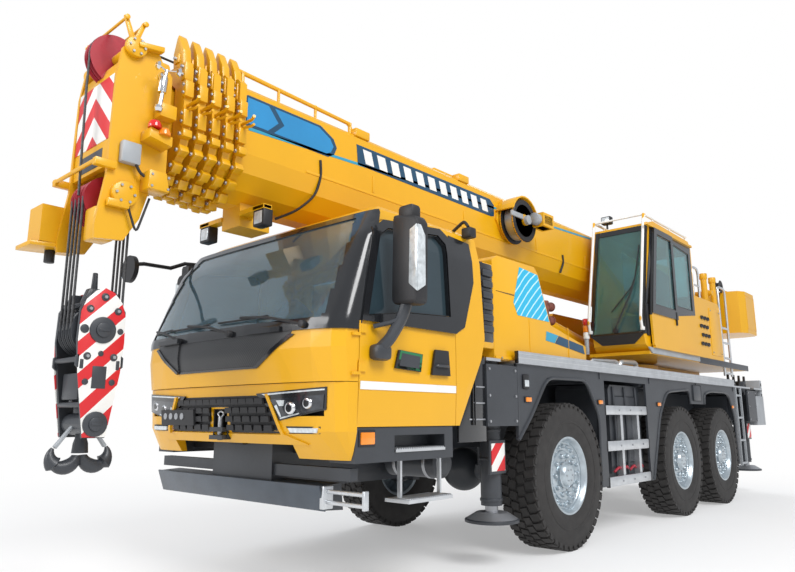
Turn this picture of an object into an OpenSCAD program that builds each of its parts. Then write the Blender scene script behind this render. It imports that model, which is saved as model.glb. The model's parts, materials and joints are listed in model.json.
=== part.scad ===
// All-terrain truck crane on three steered axles, boom level over the cab, as it stands parked.
// Millimetres. +X forward, +Y left, +Z up, origin on the ground under the middle of the crane.
// Every size and place below is named once; seats and clearances are worked out from them.

/* [Wheels and axles] */
// tyre outer radius; the wheel centre stands at this height
tyre_r = 680; // [600:1:760]
// tyre width
tyre_w = 385; // [300:1:450]
// rim flange radius
rim_r = 345; // [300:1:380]
// wheel centre plane from the middle of the crane
wheel_y = 1076; // [1020:1:1100]
// first axle
axle_1_x = 1500; // [1350:1:1600]
// second axle
axle_2_x = -1550; // [-1650:1:-1450]
// third axle
axle_3_x = -3200; // [-3300:1:-3130]
// kingpin from the middle of the crane
kingpin_y = 800; // [760:1:820]
// axle tube radius
axle_r = 95; // [70:1:110]

/* [Carrier] */
// half width over the deck rails
half_w = 1275; // [1200:1:1320]
// half width of the box frame
frame_half_w = 380; // [300:1:420]
// box frame underside
frame_z0 = 930; // [900:1:1000]
// box frame top
frame_z1 = 1600; // [1500:1:1640]
// deck plate underside
deck_z = 1690; // [1650:1:1750]
// deck plate thickness
deck_t = 25; // [10:1:40]
// deck rail top
rail_z1 = 1800; // [1760:1:1850]
// front end of the deck
deck_x1 = 2840; // [2700:1:2850]
// rear end of the deck
deck_x0 = -5700; // [-5740:1:-5400]

/* [Outriggers] */
// middle of the front outrigger box
outrigger_front_x = 2630; // [2600:1:2640]
// middle of the rear outrigger box
outrigger_rear_x = -4950; // [-5000:1:-4800]
// distance of each beam from the middle of its box
beam_pitch = 120; // [110:1:130]
// beam width
beam_w = 170; // [120:1:190]
// beam height
beam_h = 310; // [200:1:340]
// beam underside
beam_z0 = 1220; // [1180:1:1250]
// jack leg radius
leg_r = 55; // [40:1:65]
// foot plate radius
pad_r = 225; // [150:1:235]

/* [Cab] */
// cab front at the foot of the windscreen
cab_x1 = 4650; // [4500:1:4700]
// cab rear wall
cab_x0 = 2890; // [2880:1:3000]
// cab wall thickness
cab_wall = 45; // [30:1:60]
// door sill height
sill_z = 1160; // [1125:1:1200]
// cab roof height
roof_z = 2800; // [2700:1:2820]
// front edge of the doors
door_x1 = 4360; // [4250:1:4370]
// rear edge of the doors
door_x0 = 3290; // [3200:1:3400]
// gap round each door
door_gap = 5; // [3:1:8]

/* [Turntable] */
// slewing axis
slew_x = -2250; // [-2350:1:-2150]
// slewing ring radius
ring_r = 640; // [500:1:680]
// top of the fixed ring
ring_z = 1860; // [1830:1:1900]
// inner face of the turntable side walls
wall_y = 400; // [375:1:430]
// side wall thickness
wall_t = 50; // [20:1:60]
// boom foot pin
pivot_x = -3700; // [-3800:1:-3600]
// boom foot pin height
pivot_z = 3050; // [3000:1:3100]
// cylinder foot pin
foot_x = -1850; // [-1900:1:-1800]
// cylinder foot pin height
foot_z = 2110; // [2100:1:2140]

/* [Boom] */
// half width of the base section
boom_half_w = 360; // [320:1:370]
// top of the base section
boom_z1 = 3750; // [3700:1:3800]
// weld line between side wall and rounded belly
boom_weld_z = 3200; // [3150:1:3250]
// underside of the base section
boom_z0 = 2865; // [2860:1:2900]
// plate thickness of each section
boom_t = 12; // [8:1:16]
// step from one section to the next
boom_step = 32; // [26:1:36]
// tail of the base section
boom_x0 = -4150; // [-4200:1:-4100]
// front face of the base section's collar
boom_x1 = 4790; // [4700:1:4850]
// distance from collar to collar
collar_pitch = 110; // [100:1:120]
// lifting lug pin
lug_x = 1590; // [1500:1:1700]
// lifting lug pin height
lug_z = 2730; // [2700:1:2740]

/* [Hook and head] */
// hook sheave axis below the boom head
head_x = 5590; // [5570:1:5620]
// height of the lower head sheaves
head_z = 2650; // [2600:1:2700]
// height of the upper head sheaves
top_sheave_z = 3700; // [3650:1:3730]
// groove radius of the upper head sheaves
top_groove_r = 175; // [150:1:180]
// groove radius of the other sheaves
groove_r = 150; // [130:1:160]
// hoist rope radius
rope_r = 9; // [7:1:10]
// distance between the hoist falls
fall_pitch = 56; // [50:1:60]
// hook block sheave axis
block_z = 1770; // [1740:1:1800]

/* [Luffing cylinder] */
// barrel radius
barrel_r = 145; // [120:1:150]
// rod radius
rod_r = 105; // [80:1:110]

/* [Hidden] */
$fn = 40;
wheel_z = tyre_r;
AXLES = [axle_1_x, axle_2_x, axle_3_x];
run = 0.4;                       // running clearance at pins, bores and slides
pin_r = 45;
jack_y = half_w - 240;           // jack centre from the middle of the crane
skirt_y = [half_w - 55, half_w - 30];
bulge_r = min(225, frame_z0 - wheel_z - 20);   // differential housing
tyre_y0 = wheel_y - tyre_w / 2;
front_frame_z = [700, 1110];     // frame under the cab
beam_len = 2 * jack_y - 190;
box_y1 = jack_y - 110;           // outer end of the outrigger boxes
foot_a = atan2(lug_z - foot_z, lug_x - foot_x);
closed_len = norm([lug_x - foot_x, lug_z - foot_z]);
head_plate_y = 270;
lug_y = rod_r + 10;               // inner face of the lifting lug's plates
cwt_z = [2650, 3380];            // counterweight

// ---- helpers -------------------------------------------------------------------------------
module box(x, y, z)
  translate([x[0], y[0], z[0]]) cube([x[1] - x[0], y[1] - y[0], z[1] - z[0]]);
// outline in X and Z, from y[0] to y[1]
module along_y(y, pts)
  translate([0, y[1], 0]) rotate([90, 0, 0]) linear_extrude(y[1] - y[0]) polygon(pts);
// outline in Y and Z, from x[0] to x[1]
module along_x(x, pts)
  translate([x[0], 0, 0]) rotate([90, 0, 90]) linear_extrude(x[1] - x[0]) polygon(pts);
module both_sides() {
  children();
  mirror([0, 1, 0]) children();
}
// side: +1 left as drawn, -1 right
module on_side(side) mirror([0, side < 0 ? 1 : 0, 0]) children();
module cyl_y(x, y, z, r) translate([x, y[1], z]) rotate([90, 0, 0]) cylinder(r = r, h = y[1] - y[0]);
module rod(p, q, r, n = 8) {
  d = q - p;
  translate(p) rotate([0, acos(d[2] / norm(d)), atan2(d[1], d[0])]) cylinder(r = r, h = norm(d), $fn = n);
}
module path(pts, r, n = 8) for (i = [1:len(pts) - 1]) {
  d = pts[i] - pts[i - 1];
  rod(pts[i - 1] - d * (i > 1 ? 0.5 : 0) * r / norm(d), pts[i] + d * 0.5 * r / norm(d), r, n);
}

// ---- carrier frame -------------------------------------------------------------------------
DECK_BEARERS = [700, -450, -2350, -4120, -5500];
OUTRIGGERS = [outrigger_front_x, outrigger_rear_x];
outrigger_box_half = 240;
box_wall = 40;
module outrigger_box(x) box([x - outrigger_box_half, x + outrigger_box_half], [-box_y1, box_y1],
  [beam_z0 - box_wall, beam_z0 + beam_h + box_wall]);
module outrigger_channel(x)
  box([x - beam_w / 2 - 5, x + beam_w / 2 + 5], [-1500, 1500], [beam_z0 - run, beam_z0 + beam_h + 8]);

module chassis_frame() color("#3b3e43") {
  difference() {
    union() {
      box([-5640, 2870], [-frame_half_w, frame_half_w], [frame_z0, frame_z1]);
      box([2600, 4360], [-frame_half_w, frame_half_w], front_frame_z);
      // cab bearers, and the arms that hold the step boxes
      for (x = [3000, 4150])
        box([x, x + 120], [-frame_half_w, frame_half_w], [front_frame_z[1] - 10, sill_z]);
      for (x = [3420, 4100]) box([x, x + 60], [275 - half_w, half_w - 275], [960, 1040]);
      along_y([-frame_half_w, frame_half_w], [[2300, frame_z0 + 10], [2600, front_frame_z[0]],
        [2870, front_frame_z[0]], [2870, frame_z0 + 10]]);
      for (x = OUTRIGGERS) outrigger_box(x);
      for (x = DECK_BEARERS) box([x - 50, x + 50], [-half_w + 75, half_w - 75], [frame_z1 - 20, deck_z]);
      translate([slew_x, 0, frame_z1 - 20]) cylinder(r = ring_r, h = ring_z - frame_z1 + 20, $fn = 64);
      // underrun beam and the member above it
      along_y([-1150, 950], [[4180, 600], [4340, 610], [4400, 770], [4200, 780]]);
      box([4270, 4340], [95 - half_w, half_w - 95], [810, 890]);
      // tow jaw
      for (z = [1060, 1118]) box([4350, 4600], [-85, 85], [z, z + 32]);
      translate([4560, 0, 1055]) cylinder(r = 18, h = 145);
    }
    for (x = OUTRIGGERS, s = [-1, 1]) outrigger_channel(x + s * beam_pitch);
  }
}

// ---- axles, knuckles and wheels -------------------------------------------------------------
ear_h = 150;                     // kingpin ears above and below the wheel centre
ear_t = 40;                      // thickness of each ear
kingpin_r = 34;
strut_y = 300;                   // suspension struts on their pads
module axle_beams() color("#2b2d30") for (x = AXLES) difference() {
  union() {
    cyl_y(x, [-kingpin_y + 90, kingpin_y - 90], wheel_z, axle_r);
    translate([x, 0, wheel_z]) sphere(r = bulge_r, $fn = 24);
    both_sides() {
      for (z = [wheel_z - ear_h + 15, wheel_z + ear_h - 15]) {
        translate([x, kingpin_y, z - ear_t / 2]) cylinder(r = 62, h = ear_t);
        box([x - 50, x + 50], [kingpin_y - 80, kingpin_y - 20], [z - ear_t / 2, z + ear_t / 2]);
      }
      box([x - 55, x + 55], [kingpin_y - 130, kingpin_y - 75], [wheel_z - ear_h - 5, wheel_z + ear_h + 5]);
      for (dx = [-90, 90]) rod([x + dx, strut_y, wheel_z + 40], [x + dx, strut_y, frame_z0], 45, 12);
      box([x - 140, x + 140], [strut_y - 45, strut_y + 45], [wheel_z - 20, wheel_z + 60]);
    }
  }
  for (s = [-1, 1]) translate([x, s * kingpin_y, wheel_z - 300]) cylinder(r = kingpin_r + run, h = 600);
}

stub_r = 60;                     // stub axle that the wheel turns on
module knuckle(i, side) color("#2b2d30") {
  x = AXLES[i];
  on_side(side) {
    translate([x, kingpin_y, wheel_z - ear_h - 5]) cylinder(r = kingpin_r, h = 2 * ear_h + 10);
    translate([x, kingpin_y, wheel_z - 110]) cylinder(r = 58, h = 220);
    cyl_y(x, [kingpin_y + 68, wheel_y - 100], wheel_z, 185);
    cyl_y(x, [kingpin_y, wheel_y + 100], wheel_z, stub_r);
  }
}

// section of one tyre and rim, radius first, across the wheel second
tyre_half = tyre_w / 2;
module wheel_section() polygon([
  [rim_r - 8, -tyre_half + 40], [rim_r + 40, -tyre_half + 12], [tyre_r - 150, -tyre_half],
  [tyre_r - 50, -tyre_half + 12], [tyre_r - 10, -tyre_half + 42], [tyre_r, -tyre_half + 70],
  [tyre_r, tyre_half - 70], [tyre_r - 10, tyre_half - 42], [tyre_r - 50, tyre_half - 12],
  [tyre_r - 150, tyre_half], [rim_r + 40, tyre_half - 12], [rim_r - 8, tyre_half - 40],
  [rim_r - 30, tyre_half - 60], [rim_r - 30, -tyre_half + 60]]);
module disc_section() polygon([
  [rim_r - 34, -120], [rim_r - 25, -120], [rim_r - 25, 135], [rim_r + 18, 145], [rim_r + 18, 155],
  [rim_r - 40, 150], [rim_r - 60, 60], [210, 75], [150, 40], [150, 90], [120, 150], [60, 170], [0, 170],
  [0, 110], [stub_r + run, 110], [stub_r + run, -90], [120, -90], [140, 20], [210, 50], [rim_r - 60, 35]]);
module wheel(i, side) color("#26282b") {
  x = AXLES[i];
  translate([x, side * wheel_y, wheel_z]) rotate([side < 0 ? 90 : -90, 0, 0]) {
    rotate_extrude($fn = 72) wheel_section();
    rotate_extrude($fn = 72) disc_section();
  }
}

// ---- outriggers ----------------------------------------------------------------------------
// where: +1 front, -1 rear; side: +1 left, -1 right
function beam_x(where, side) = (where > 0 ? outrigger_front_x : outrigger_rear_x) - side * beam_pitch;
leg_z = [485, 1780];             // jack leg, and the cap on it
module outrigger_beam(where, side) color("#34363a") {
  x = beam_x(where, side);
  middle = x + side * beam_pitch;
  on_side(side) difference() {
    union() {
      box([x - beam_w / 2, x + beam_w / 2], [jack_y - beam_len, jack_y], [beam_z0, beam_z0 + beam_h]);
      translate([x, jack_y, leg_z[0]]) cylinder(r = leg_r + 35, h = 1320);
      translate([x, jack_y, leg_z[1]]) cylinder(r = leg_r + 48, h = 40);
      box([x - 70, x + 70], [jack_y + 60, half_w - 40], [beam_z0 - 60, beam_z0 + beam_h + 60]);
      box([middle - 235, middle + 235], [half_w - 45, half_w - 15], [1150, 1660]);
    }
    translate([x, jack_y, 400]) cylinder(r = leg_r + run, h = 1330);
  }
}
module outrigger_jack(where, side) color("#8d9094") {
  x = beam_x(where, side);
  translate([x, side * jack_y, 0]) {
    translate([0, 0, 420]) cylinder(r = leg_r, h = 1290);
    translate([0, 0, 375]) cylinder(r1 = pad_r, r2 = pad_r - 90, h = 55);
    translate([0, 0, 350]) cylinder(r = pad_r, h = 26);
  }
}

// ---- deck, skirts, tanks, guards -----------------------------------------------------------
module carrier_deck() color("#b9bcc0") {
  difference() {
    box([deck_x0, deck_x1], [-half_w + 30, half_w - 30], [deck_z, deck_z + deck_t]);
    translate([slew_x, 0, 0]) cylinder(r = ring_r + 30, h = 3000, $fn = 64);
    for (where = [-1, 1], s = [-1, 1])
      translate([beam_x(where, s), s * jack_y, 0])
        box([-115, 115], [-115, 115] + (s > 0 ? [0, 400] : [-400, 0]), [1600, 1900]);
  }
  both_sides() box([-3970, 2390], [half_w - 30, half_w], [deck_z, rail_z1]);
}

ARCH_1 = [[2380, 1030], [2150, 1240], [1850, 1585], [1060, 1595], [800, 1240], [830, 515]];
module side_skirts() color("#303236") both_sides() {
  along_y(skirt_y, concat([[640, deck_z], [2380, deck_z]], ARCH_1, [[640, 515]]));
  along_y(skirt_y, [[-555, 500], [-875, 1250], [-1135, 1535], [-1950, 1590], [-1990, 1400], [-2560, 1400],
    [-2590, 1550], [-2850, 1590], [-3500, 1590], [-3700, 1560], [-3900, 1240], [-3930, 510], [-4040, 510],
    [-4040, deck_z], [-480, deck_z], [-480, 500]]);
  box([-480, 640], skirt_y, [1610, deck_z]);
  // mudguards over the wheels
  for (x = AXLES) box([x - 420, x + 340], [kingpin_y + 20, skirt_y[0] + 1], [1600, 1615]);
  // step box under the door
  difference() {
    box([door_x0 + 30, door_x1], [half_w - 275, half_w - 30], [925, sill_z - 5]);
    box([3420, 3980], [half_w - 195, half_w], [985, 1100]);
  }
}
module side_tanks() color("#3a3c40") both_sides()
  along_y([500, half_w - 125], [[-500, 620], [-450, 570], [300, 570], [350, 620], [350, 1530], [300, 1580],
    [-450, 1580], [-500, 1530]]);
module side_guards() color("#c3c6ca") both_sides() {
  for (z = [[505, 600], [870, 970], [1250, 1345]]) box([-470, 630], [half_w - 60, half_w - 30], z);
  for (x = [-300, 150]) box([x, x + 60], [half_w - 125, half_w - 60], [505, 1345]);
  // cab steps
  box([3340, 3840], [half_w - 250, half_w - 20], [630, 655]);
  box([3425, 3975], [half_w - 190, half_w - 20], [985, 1005]);
  for (x = [3350, 3800]) box([x, x + 20], [half_w - 150, half_w - 120], [650, 925]);
}
module rear_locker() color("#6d7175") {
  difference() {
    box([-5770, -5240], [-half_w + 40, half_w - 40], [1090, 1580]);
    box([-5645, -5200], [-frame_half_w - 5, frame_half_w + 5], [900, 1700]);
  }
  box([-5790, -5705], [750, half_w - 60], [1100, 1860]);
  // side ladders
  both_sides() {
    for (z = [500, 850, 1200, 1550]) box([-4400, -4160], [half_w - 60, half_w - 30], [z, z + 30]);
    for (x = [-4430, -4160]) box([x, x + 30], [half_w - 60, half_w - 30], [480, 1690]);
  }
}
module drive_unit() color("#4a4d50") {
  box([900, 2200], [-300, 300], [deck_z + deck_t, 2200]);
}
module engine_cover() color("#f2b21b") difference() {
  union() {
    cover_outline();
    // intake column behind the cab
    along_y([half_w - 325, half_w - 75],
      [[2649, 1800], [2850, 1800], [2850, 2480], [2800, 2550], [2649, 2550]]);
    for (z = [2240, 2390]) exhaust_outlet(z);
  }
  box([890, 2210], [-310, 310], [deck_z, 2210]);
  both_sides() box([800, 2900], [900, half_w], [1700, 1835]);
  both_sides() for (i = [0:9]) box([2340, 2540], [half_w - 95, half_w], [1960 + i * 66, 1995 + i * 66]);
}
module cover_outline() along_y([75 - half_w, half_w - 75], [[915, deck_z + deck_t], [915, 1970],
  [1670, 2510], [2000, 2650], [2560, 2650], [2650, 2600], [2650, deck_z + deck_t]]);
module exhaust_outlet(z) {
  rod([1300, 900, z - 60], [1300, 900, z + 40], 45, 16);
  rod([1300, 900, z], [1120, 900, z], 45, 16);
}

// ---- carrier cab ---------------------------------------------------------------------------
// levels of the cab body: height, front at the middle, front at the sides, half width, rear
CAB = [[sill_z, cab_x1 - 95, 4370, half_w - 20, 3240],
       [1450, cab_x1 - 55, 4372, half_w - 7, 3150],
       [1680, cab_x1 + 12, 4375, half_w - 5, 2950],
       [1860, cab_x1, 4370, half_w - 7, cab_x0],
       [2500, cab_x1 - 350, 4225, half_w - 40, cab_x0],
       [2720, cab_x1 - 520, 4080, half_w - 85, cab_x0 + 10],
       [roof_z, cab_x1 - 660, 3960, half_w - 215, cab_x0 + 90]];
// share of the half width, share of the bow
BOW = [[1, 0], [0.985, 0.3], [0.93, 0.55], [0.82, 0.75], [0.6, 0.9], [0.3, 0.98]];
last_bow = len(BOW) - 1;
function bow_point(b, front, side_x, hw, t) = [side_x - t + (front - side_x) * b[1], (hw - t) * b[0]];
function bow_outline(front, side_x, hw, rear, t) = concat(
  [[rear + t, hw - t]],
  [for (b = BOW) bow_point(b, front, side_x, hw, t)],
  [for (i = [last_bow:-1:0]) let (p = bow_point(BOW[i], front, side_x, hw, t)) [p[0], -p[1]]],
  [[rear + t, -hw + t]]);
module cab_body(t, z0, z1) hull() for (i = [0:len(CAB) - 1]) {
  c = CAB[i];
  z = i == 0 ? z0 : min(c[0], z1);
  translate([0, 0, i == len(CAB) - 1 ? z - 1 : z]) linear_extrude(1)
    polygon(bow_outline(c[1], c[2], c[3], c[4], t));
}
module cab_solid(t) cab_body(t, sill_z + (t > 0 ? t : 0), roof_z - t);
DOOR = [[door_x1, sill_z - 20], [door_x1, 1860], [4205, 2560], [4090, 2640], [3400, 2720],
        [door_x0, 2650], [door_x0, sill_z - 20]];
DOOR_WINDOW = [[4290, 1900], [4150, 2500], [4050, 2570], [3450, 2640], [3370, 2580],
               [3370, 1990], [3900, 1960]];
module shifted(pts, d, cx, cz) polygon([for (p = pts)
  [p[0] + (p[0] > cx ? -d : d), p[1] + (p[1] > cz ? -d : d)]]);
module door_prism(side, d, pts) translate([0, side > 0 ? half_w + 225 : 145 - half_w, 0]) rotate([90, 0, 0])
  linear_extrude(370) shifted(pts, d, 3800, 2000);
module cab_shell(t0, t1) difference() { cab_solid(t0); cab_solid(t1); }
module windscreen_cut(d) intersection() {
  box([3900, 5000], [145 - half_w + d, half_w - 145 - d], [1830 + d, 2700 - d]);
  translate([4543 + d, -1500, 1300]) rotate([0, -28, 0]) cube([1500, 3000, 2500]);
}
module carrier_cab() color("#f2b21b") {
  for (s = [-1, 1]) {
    hinge_cylinders(s, -20, 100, hinge_pin_r);
    door_hinges(s, -22, 21, [hinge_x, hinge_x + 60]);
  }
  carrier_cab_shell();
}
module carrier_cab_shell() difference() {
  cab_shell(0, cab_wall);
  for (s = [-1, 1]) {
    door_prism(s, 0, DOOR);
    hinge_cylinders(s, -3, 66, 14);
  }
  windscreen_cut(0);
  box([door_x1 + 2, 5000], [-1400, 1400], [1000, 1455]);
  box([2700, 3100], [-900, 900], [2050, 2600]);
}
hinge_x = door_x1 + 1;
hinge_y = half_w + 3;
hinge_pin_r = 6;
HINGE_Z = [1520, 1780];
// upright cylinders on the hinge axis, from z above each hinge's level, h high
module hinge_cylinders(side, z, h, r)
  for (level = HINGE_Z) translate([hinge_x, side * hinge_y, level + z]) cylinder(r = r, h = h, $fn = 24);
// barrel and leaf of each hinge
module door_hinges(side, z, h, x) {
  hinge_cylinders(side, z, h, 9.5);
  for (level = HINGE_Z)
    box(x, side > 0 ? [half_w - 13, hinge_y + 5] : [-hinge_y - 5, 13 - half_w], [level + z, level + z + h]);
}
module cab_door(side) color("#f2b21b") difference() {
  union() {
    intersection() {
      difference() { cab_solid(0); cab_body(cab_wall, sill_z - 50, roof_z - cab_wall); }
      door_prism(side, door_gap, DOOR);
    }
    door_hinges(side, 0, 60, [hinge_x - 60, hinge_x - 1]);
  }
  door_prism(side, 0, DOOR_WINDOW);
  hinge_cylinders(side, -10, 80, hinge_pin_r + 0.05);
}
module door_glass(side) color("#5a7684") intersection() {
  cab_shell(15, 25);
  door_prism(side, 0.2, DOOR_WINDOW);
}
module cab_glass() color("#5a7684") {
  intersection() { cab_shell(12, 22); windscreen_cut(0.2); }
  box([cab_x0 + 15, cab_x0 + 25], [-899.8, 899.8], [2050.2, 2599.8]);
}
// levels of the bumper: height, front at the middle, front at the sides, half width
BUMPER = [[1450, cab_x1 - 55, 4372, half_w - 7],
          [1130, cab_x1 - 90, 4372, half_w - 13],
          [945, cab_x1 - 220, 4340, half_w - 50]];
module bumper_body() hull() for (c = BUMPER)
  translate([0, 0, c[0]]) linear_extrude(1) polygon(bow_outline(c[1], c[2], c[3], 4050, 0));
module bumper_hollow() hull() for (level = [[1480, BUMPER[0]], [900, BUMPER[2]]]) let (c = level[1])
  translate([0, 0, level[0]]) linear_extrude(1) polygon(bow_outline(c[1], c[2], c[3], 3900, 60));
module front_bumper() color("#f2b21b") difference() {
  bumper_body();
  bumper_hollow();
  box([3900, door_x1 + 2.5], [-1400, 1400], [900, 1500]);
  box([4300, 4700], [-760, 760], [900, 1062]);
  box([4300, 4700], [-95, 95], [1000, 1285]);
  both_sides() box([4300, 4700], [115, 560], [1190, 1375]);
  both_sides() box([4300, 4700], [700, 1100], [1230, 1400]);
}
module cab_trim() color("#17181a") {
  // lamp units in the bumper's openings
  both_sides() box([4400, 4500], [115.3, 559.7], [1190.3, 1374.7]);
  both_sides() box([4370, 4450], [700.3, 1099.7], [1230.3, 1399.7]);
  // front mirror on its arm from the right front pillar
  box([3950, 4030], [-1232, -1202.5], [2660, 2697]);
  path([[3990, -1222, 2678], [4190, -1300, 2676], [4330, -1310, 2612], [4600, -1300, 2605],
    [4780, -1250, 2560]], 18);
  translate([4780, -1150, 2500]) rotate([0, 90, 0]) cylinder(r = 120, h = 40);
  rod([4790, -1245, 2560], [4790, -1150, 2530], 18);
  // roof beacon
  translate([3460, 800, roof_z]) cylinder(r = 55, h = 57);
}
floor_z = sill_z + cab_wall + 30;
module cab_interior() color("#2a2b2e") {
  difference() {
    box([door_x0, door_x1 - 20], [155 - half_w, half_w - 155], [floor_z - 29.7, floor_z]);
    box([4200, 4400], [-100, 100], [1100, 1300]);
  }
  both_sides() {
    // seats
    box([3420, 3920], [380, 900], [1430, 1560]);
    box([3500, 3850], [450, 830], [floor_z, 1430]);
    along_y([400, 880], [[3300, 1500], [3420, 1500], [3380, 2150], [3260, 2150]]);
  }
  // dashboard on two posts, steering wheel
  box([4180, 4420], [175 - half_w, half_w - 175], [1560, 1790]);
  for (y = [-900, 900]) box([4250, 4350], [y - 50, y + 50], [floor_z - 10, 1570]);
  translate([4080, 640, 1760]) rotate([0, -60, 0]) {
    difference() {
      cylinder(r = 220, h = 30);
      translate([0, 0, -1]) cylinder(r = 190, h = 32);
    }
    box([-30, 30], [-195, 195], [5, 25]);
    cylinder(r = 60, h = 28);
  }
  rod([4070, 640, 1765], [4260, 640, 1650], 35, 12);
}
module door_mirror(side) color("#1d1e20") on_side(side) translate([0, half_w - 1275, 0]) {
  along_x([3990, 4110], [[1330, 2010], [1360, 1980], [1540, 1980], [1570, 2010],
    [1570, 2610], [1540, 2640], [1360, 2640], [1330, 2610]]);
  box([4220, 4300], [1269.2, 1290], [1790, 1870]);
  path([[4070, 1430, 2000], [4120, 1400, 1870], [4250, 1290, 1830]], 18);
}

// ---- superstructure ------------------------------------------------------------------------
platform_z = 2030;               // top of the platforms beside the boom
module turntable() color("#f2b21b") {
  translate([slew_x, 0, ring_z + run]) cylinder(r = ring_r + 60, h = 100, $fn = 64);
  box([-4950, -1500], [-wall_y - wall_t, wall_y + wall_t], [1950, 2000]);
  both_sides() {
    along_y([wall_y, wall_y + wall_t], [[-1500, 1950], [-1560, 2180], [-2600, 2600],
      [pivot_x + 190, pivot_z + 60], [pivot_x + 60, pivot_z + 180], [pivot_x - 100, pivot_z + 180],
      [pivot_x - 240, pivot_z], [-4300, 2500], [-4950, cwt_z[0]], [-4950, 1950]]);
    box([-4950, -700], [wall_y + wall_t, half_w - 30], [platform_z - 40, platform_z]);
    along_y([100, 160], [[foot_x - 140, 1950], [foot_x - 110, foot_z + 60], [foot_x, foot_z + 120],
      [foot_x + 110, foot_z + 60], [foot_x + 140, 1950]]);
    box([-5700, -4900], [wall_y, wall_y + wall_t], [2480, cwt_z[0]]);
  }
  cyl_y(foot_x, [-160, 160], foot_z, pin_r);
  cyl_y(pivot_x, [-wall_y - wall_t - 30, wall_y + wall_t + 30], pivot_z, pin_r + 30);
  // posts and access ladder behind the operator's cab
  for (x = [-4150, -4600]) rod([x, 900, platform_z], [x, 900, 3560], 50, 16);
  for (x = [-3740, -4100]) rod([x, half_w - 55, 1860], [x, half_w - 55, 2990], 18);
  for (z = [1900, 2140, 2380, 2620]) rod([-4100, half_w - 55, z], [-3740, half_w - 55, z], 16);
}
module counterweight() color("#f2b21b") {
  side = half_w - 75;
  edge = half_w - 275;
  translate([0, 0, cwt_z[0]]) linear_extrude(cwt_z[1] - cwt_z[0]) polygon([[-5790, -edge], [-5740, -side],
    [-5620, -half_w], [-5100, -half_w], [-4950, -side], [-4880, -edge], [-4880, edge], [-4950, side],
    [-5100, half_w], [-5620, half_w], [-5740, side], [-5790, edge]]);
  // lifting eyes
  both_sides() along_y([880, 910], [[-5420, cwt_z[1] - 1], [-5400, cwt_z[1] + 90], [-5320, cwt_z[1] + 90],
    [-5300, cwt_z[1] - 1]]);
}
OPCAB_SIDE = [[-2500, platform_z], [-2500, 3650], [-2420, 3750], [-1100, 3770], [-960, 3730],
              [-620, 2250], [-660, 2110], [-760, platform_z]];
module opcab_solid(t) intersection() {
  translate([0, half_w - 20 - t, 0]) rotate([90, 0, 0])
    linear_extrude(half_w - 520 - 2 * t) shifted(OPCAB_SIDE, t, -1500, 2900);
  translate([0, 0, 1900]) linear_extrude(2000) polygon([[-2510, 510], [-2510, half_w - 30],
    [-2500, half_w - 15], [-900, half_w - 15], [-560, half_w - 75], [-560, 560], [-900, 495], [-2500, 495]]);
}
OPDOOR = [[-1620, 2120], [-1620, 3640], [-1020, 3640], [-760, 2500], [-780, 2120]];
OPSIDEWIN = [[-2380, 2700], [-2380, 3560], [-1720, 3600], [-1720, 2700]];
module opcab_cuts(d) {
  box([-1030, -500], [560 + d, half_w - 75 - d], [2250 + d, 3640 - d]);
  translate([0, 1500, 0]) rotate([90, 0, 0]) linear_extrude(1100) shifted(OPSIDEWIN, d, -2000, 3100);
  box([-2600, -2400], [580 + d, half_w - 95 - d], [2800 + d, 3560 - d]);
}
module operator_cab() color("#f2b21b") {
  // rails that the door slides on
  for (z = [[2070, 2099.6], [3660.4, 3690]]) box([-2460, -790], [half_w - 21, half_w + 17], z);
  operator_cab_shell();
  // handrails over the roof
  for (y = [half_w - 60, 530]) {
    path([[-590, y, 2300], [-560, y, 2420], [-890, y, 3830], [-2440, y, 3830], [-2440, y, 3745]], 16);
    box([-640, -574], [y - 15, y + 15], [2280, 2320]);
  }
}
module operator_cab_shell() difference() {
  opcab_solid(0);
  opcab_solid(40);
  opcab_cuts(0);
  along_y([half_w - 175, half_w + 100], OPDOOR);
}
module operator_glass() color("#4f7a80") intersection() {
  difference() { opcab_solid(12); opcab_solid(20); }
  opcab_cuts(0.2);
}
module operator_door() color("#f2b21b") difference() {
  translate([0, half_w + 15, 0]) rotate([90, 0, 0]) linear_extrude(28) shifted(OPDOOR, -20, -1200, 2900);
  along_y([half_w - 35, half_w + 25], [[-1560, 2620], [-1560, 3580], [-1080, 3580], [-860, 2620]]);
}
module operator_seat() color("#2a2b2e") {
  box([-2000, -1560], [680, 1080], [2380, 2500]);
  box([-1900, -1650], [760, 1000], [2070.5, 2380]);
  along_y([690, 1070], [[-2120, 2480], [-2000, 2480], [-2060, 3150], [-2160, 3150]]);
  // armrests with their brackets, and the foot controls
  translate([0, 880, 0]) both_sides() {
    box([-1960, -1600], [210, 290], [2560, 2620]);
    box([-1960, -1900], [200, 290], [2440, 2570]);
  }
  box([-1000, -860], [700, 1060], [2070.5, 2500]);
}
module service_housing() color("#f2b21b") {
  along_y([520, half_w - 35], [[-3680, platform_z], [-3680, 2900], [-3600, 2970], [-2560, 2970],
    [-2520, 2900], [-2520, platform_z]]);
  along_y([35 - half_w, -520], [[-3680, platform_z], [-3680, 2700], [-3600, 2770], [-1560, 2770],
    [-1500, 2700], [-1500, platform_z]]);
}
winch_x = -4720;
winch_z = 2330;
module hoist_drum() color("#8d9094") {
  cyl_y(winch_x, [-280, 280], winch_z, 170);
  for (y = [-300, 300]) cyl_y(winch_x, [y - 20, y + 20], winch_z, 240);
  cyl_y(winch_x, [run - wall_y, wall_y - run], winch_z, 60);
}

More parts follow.
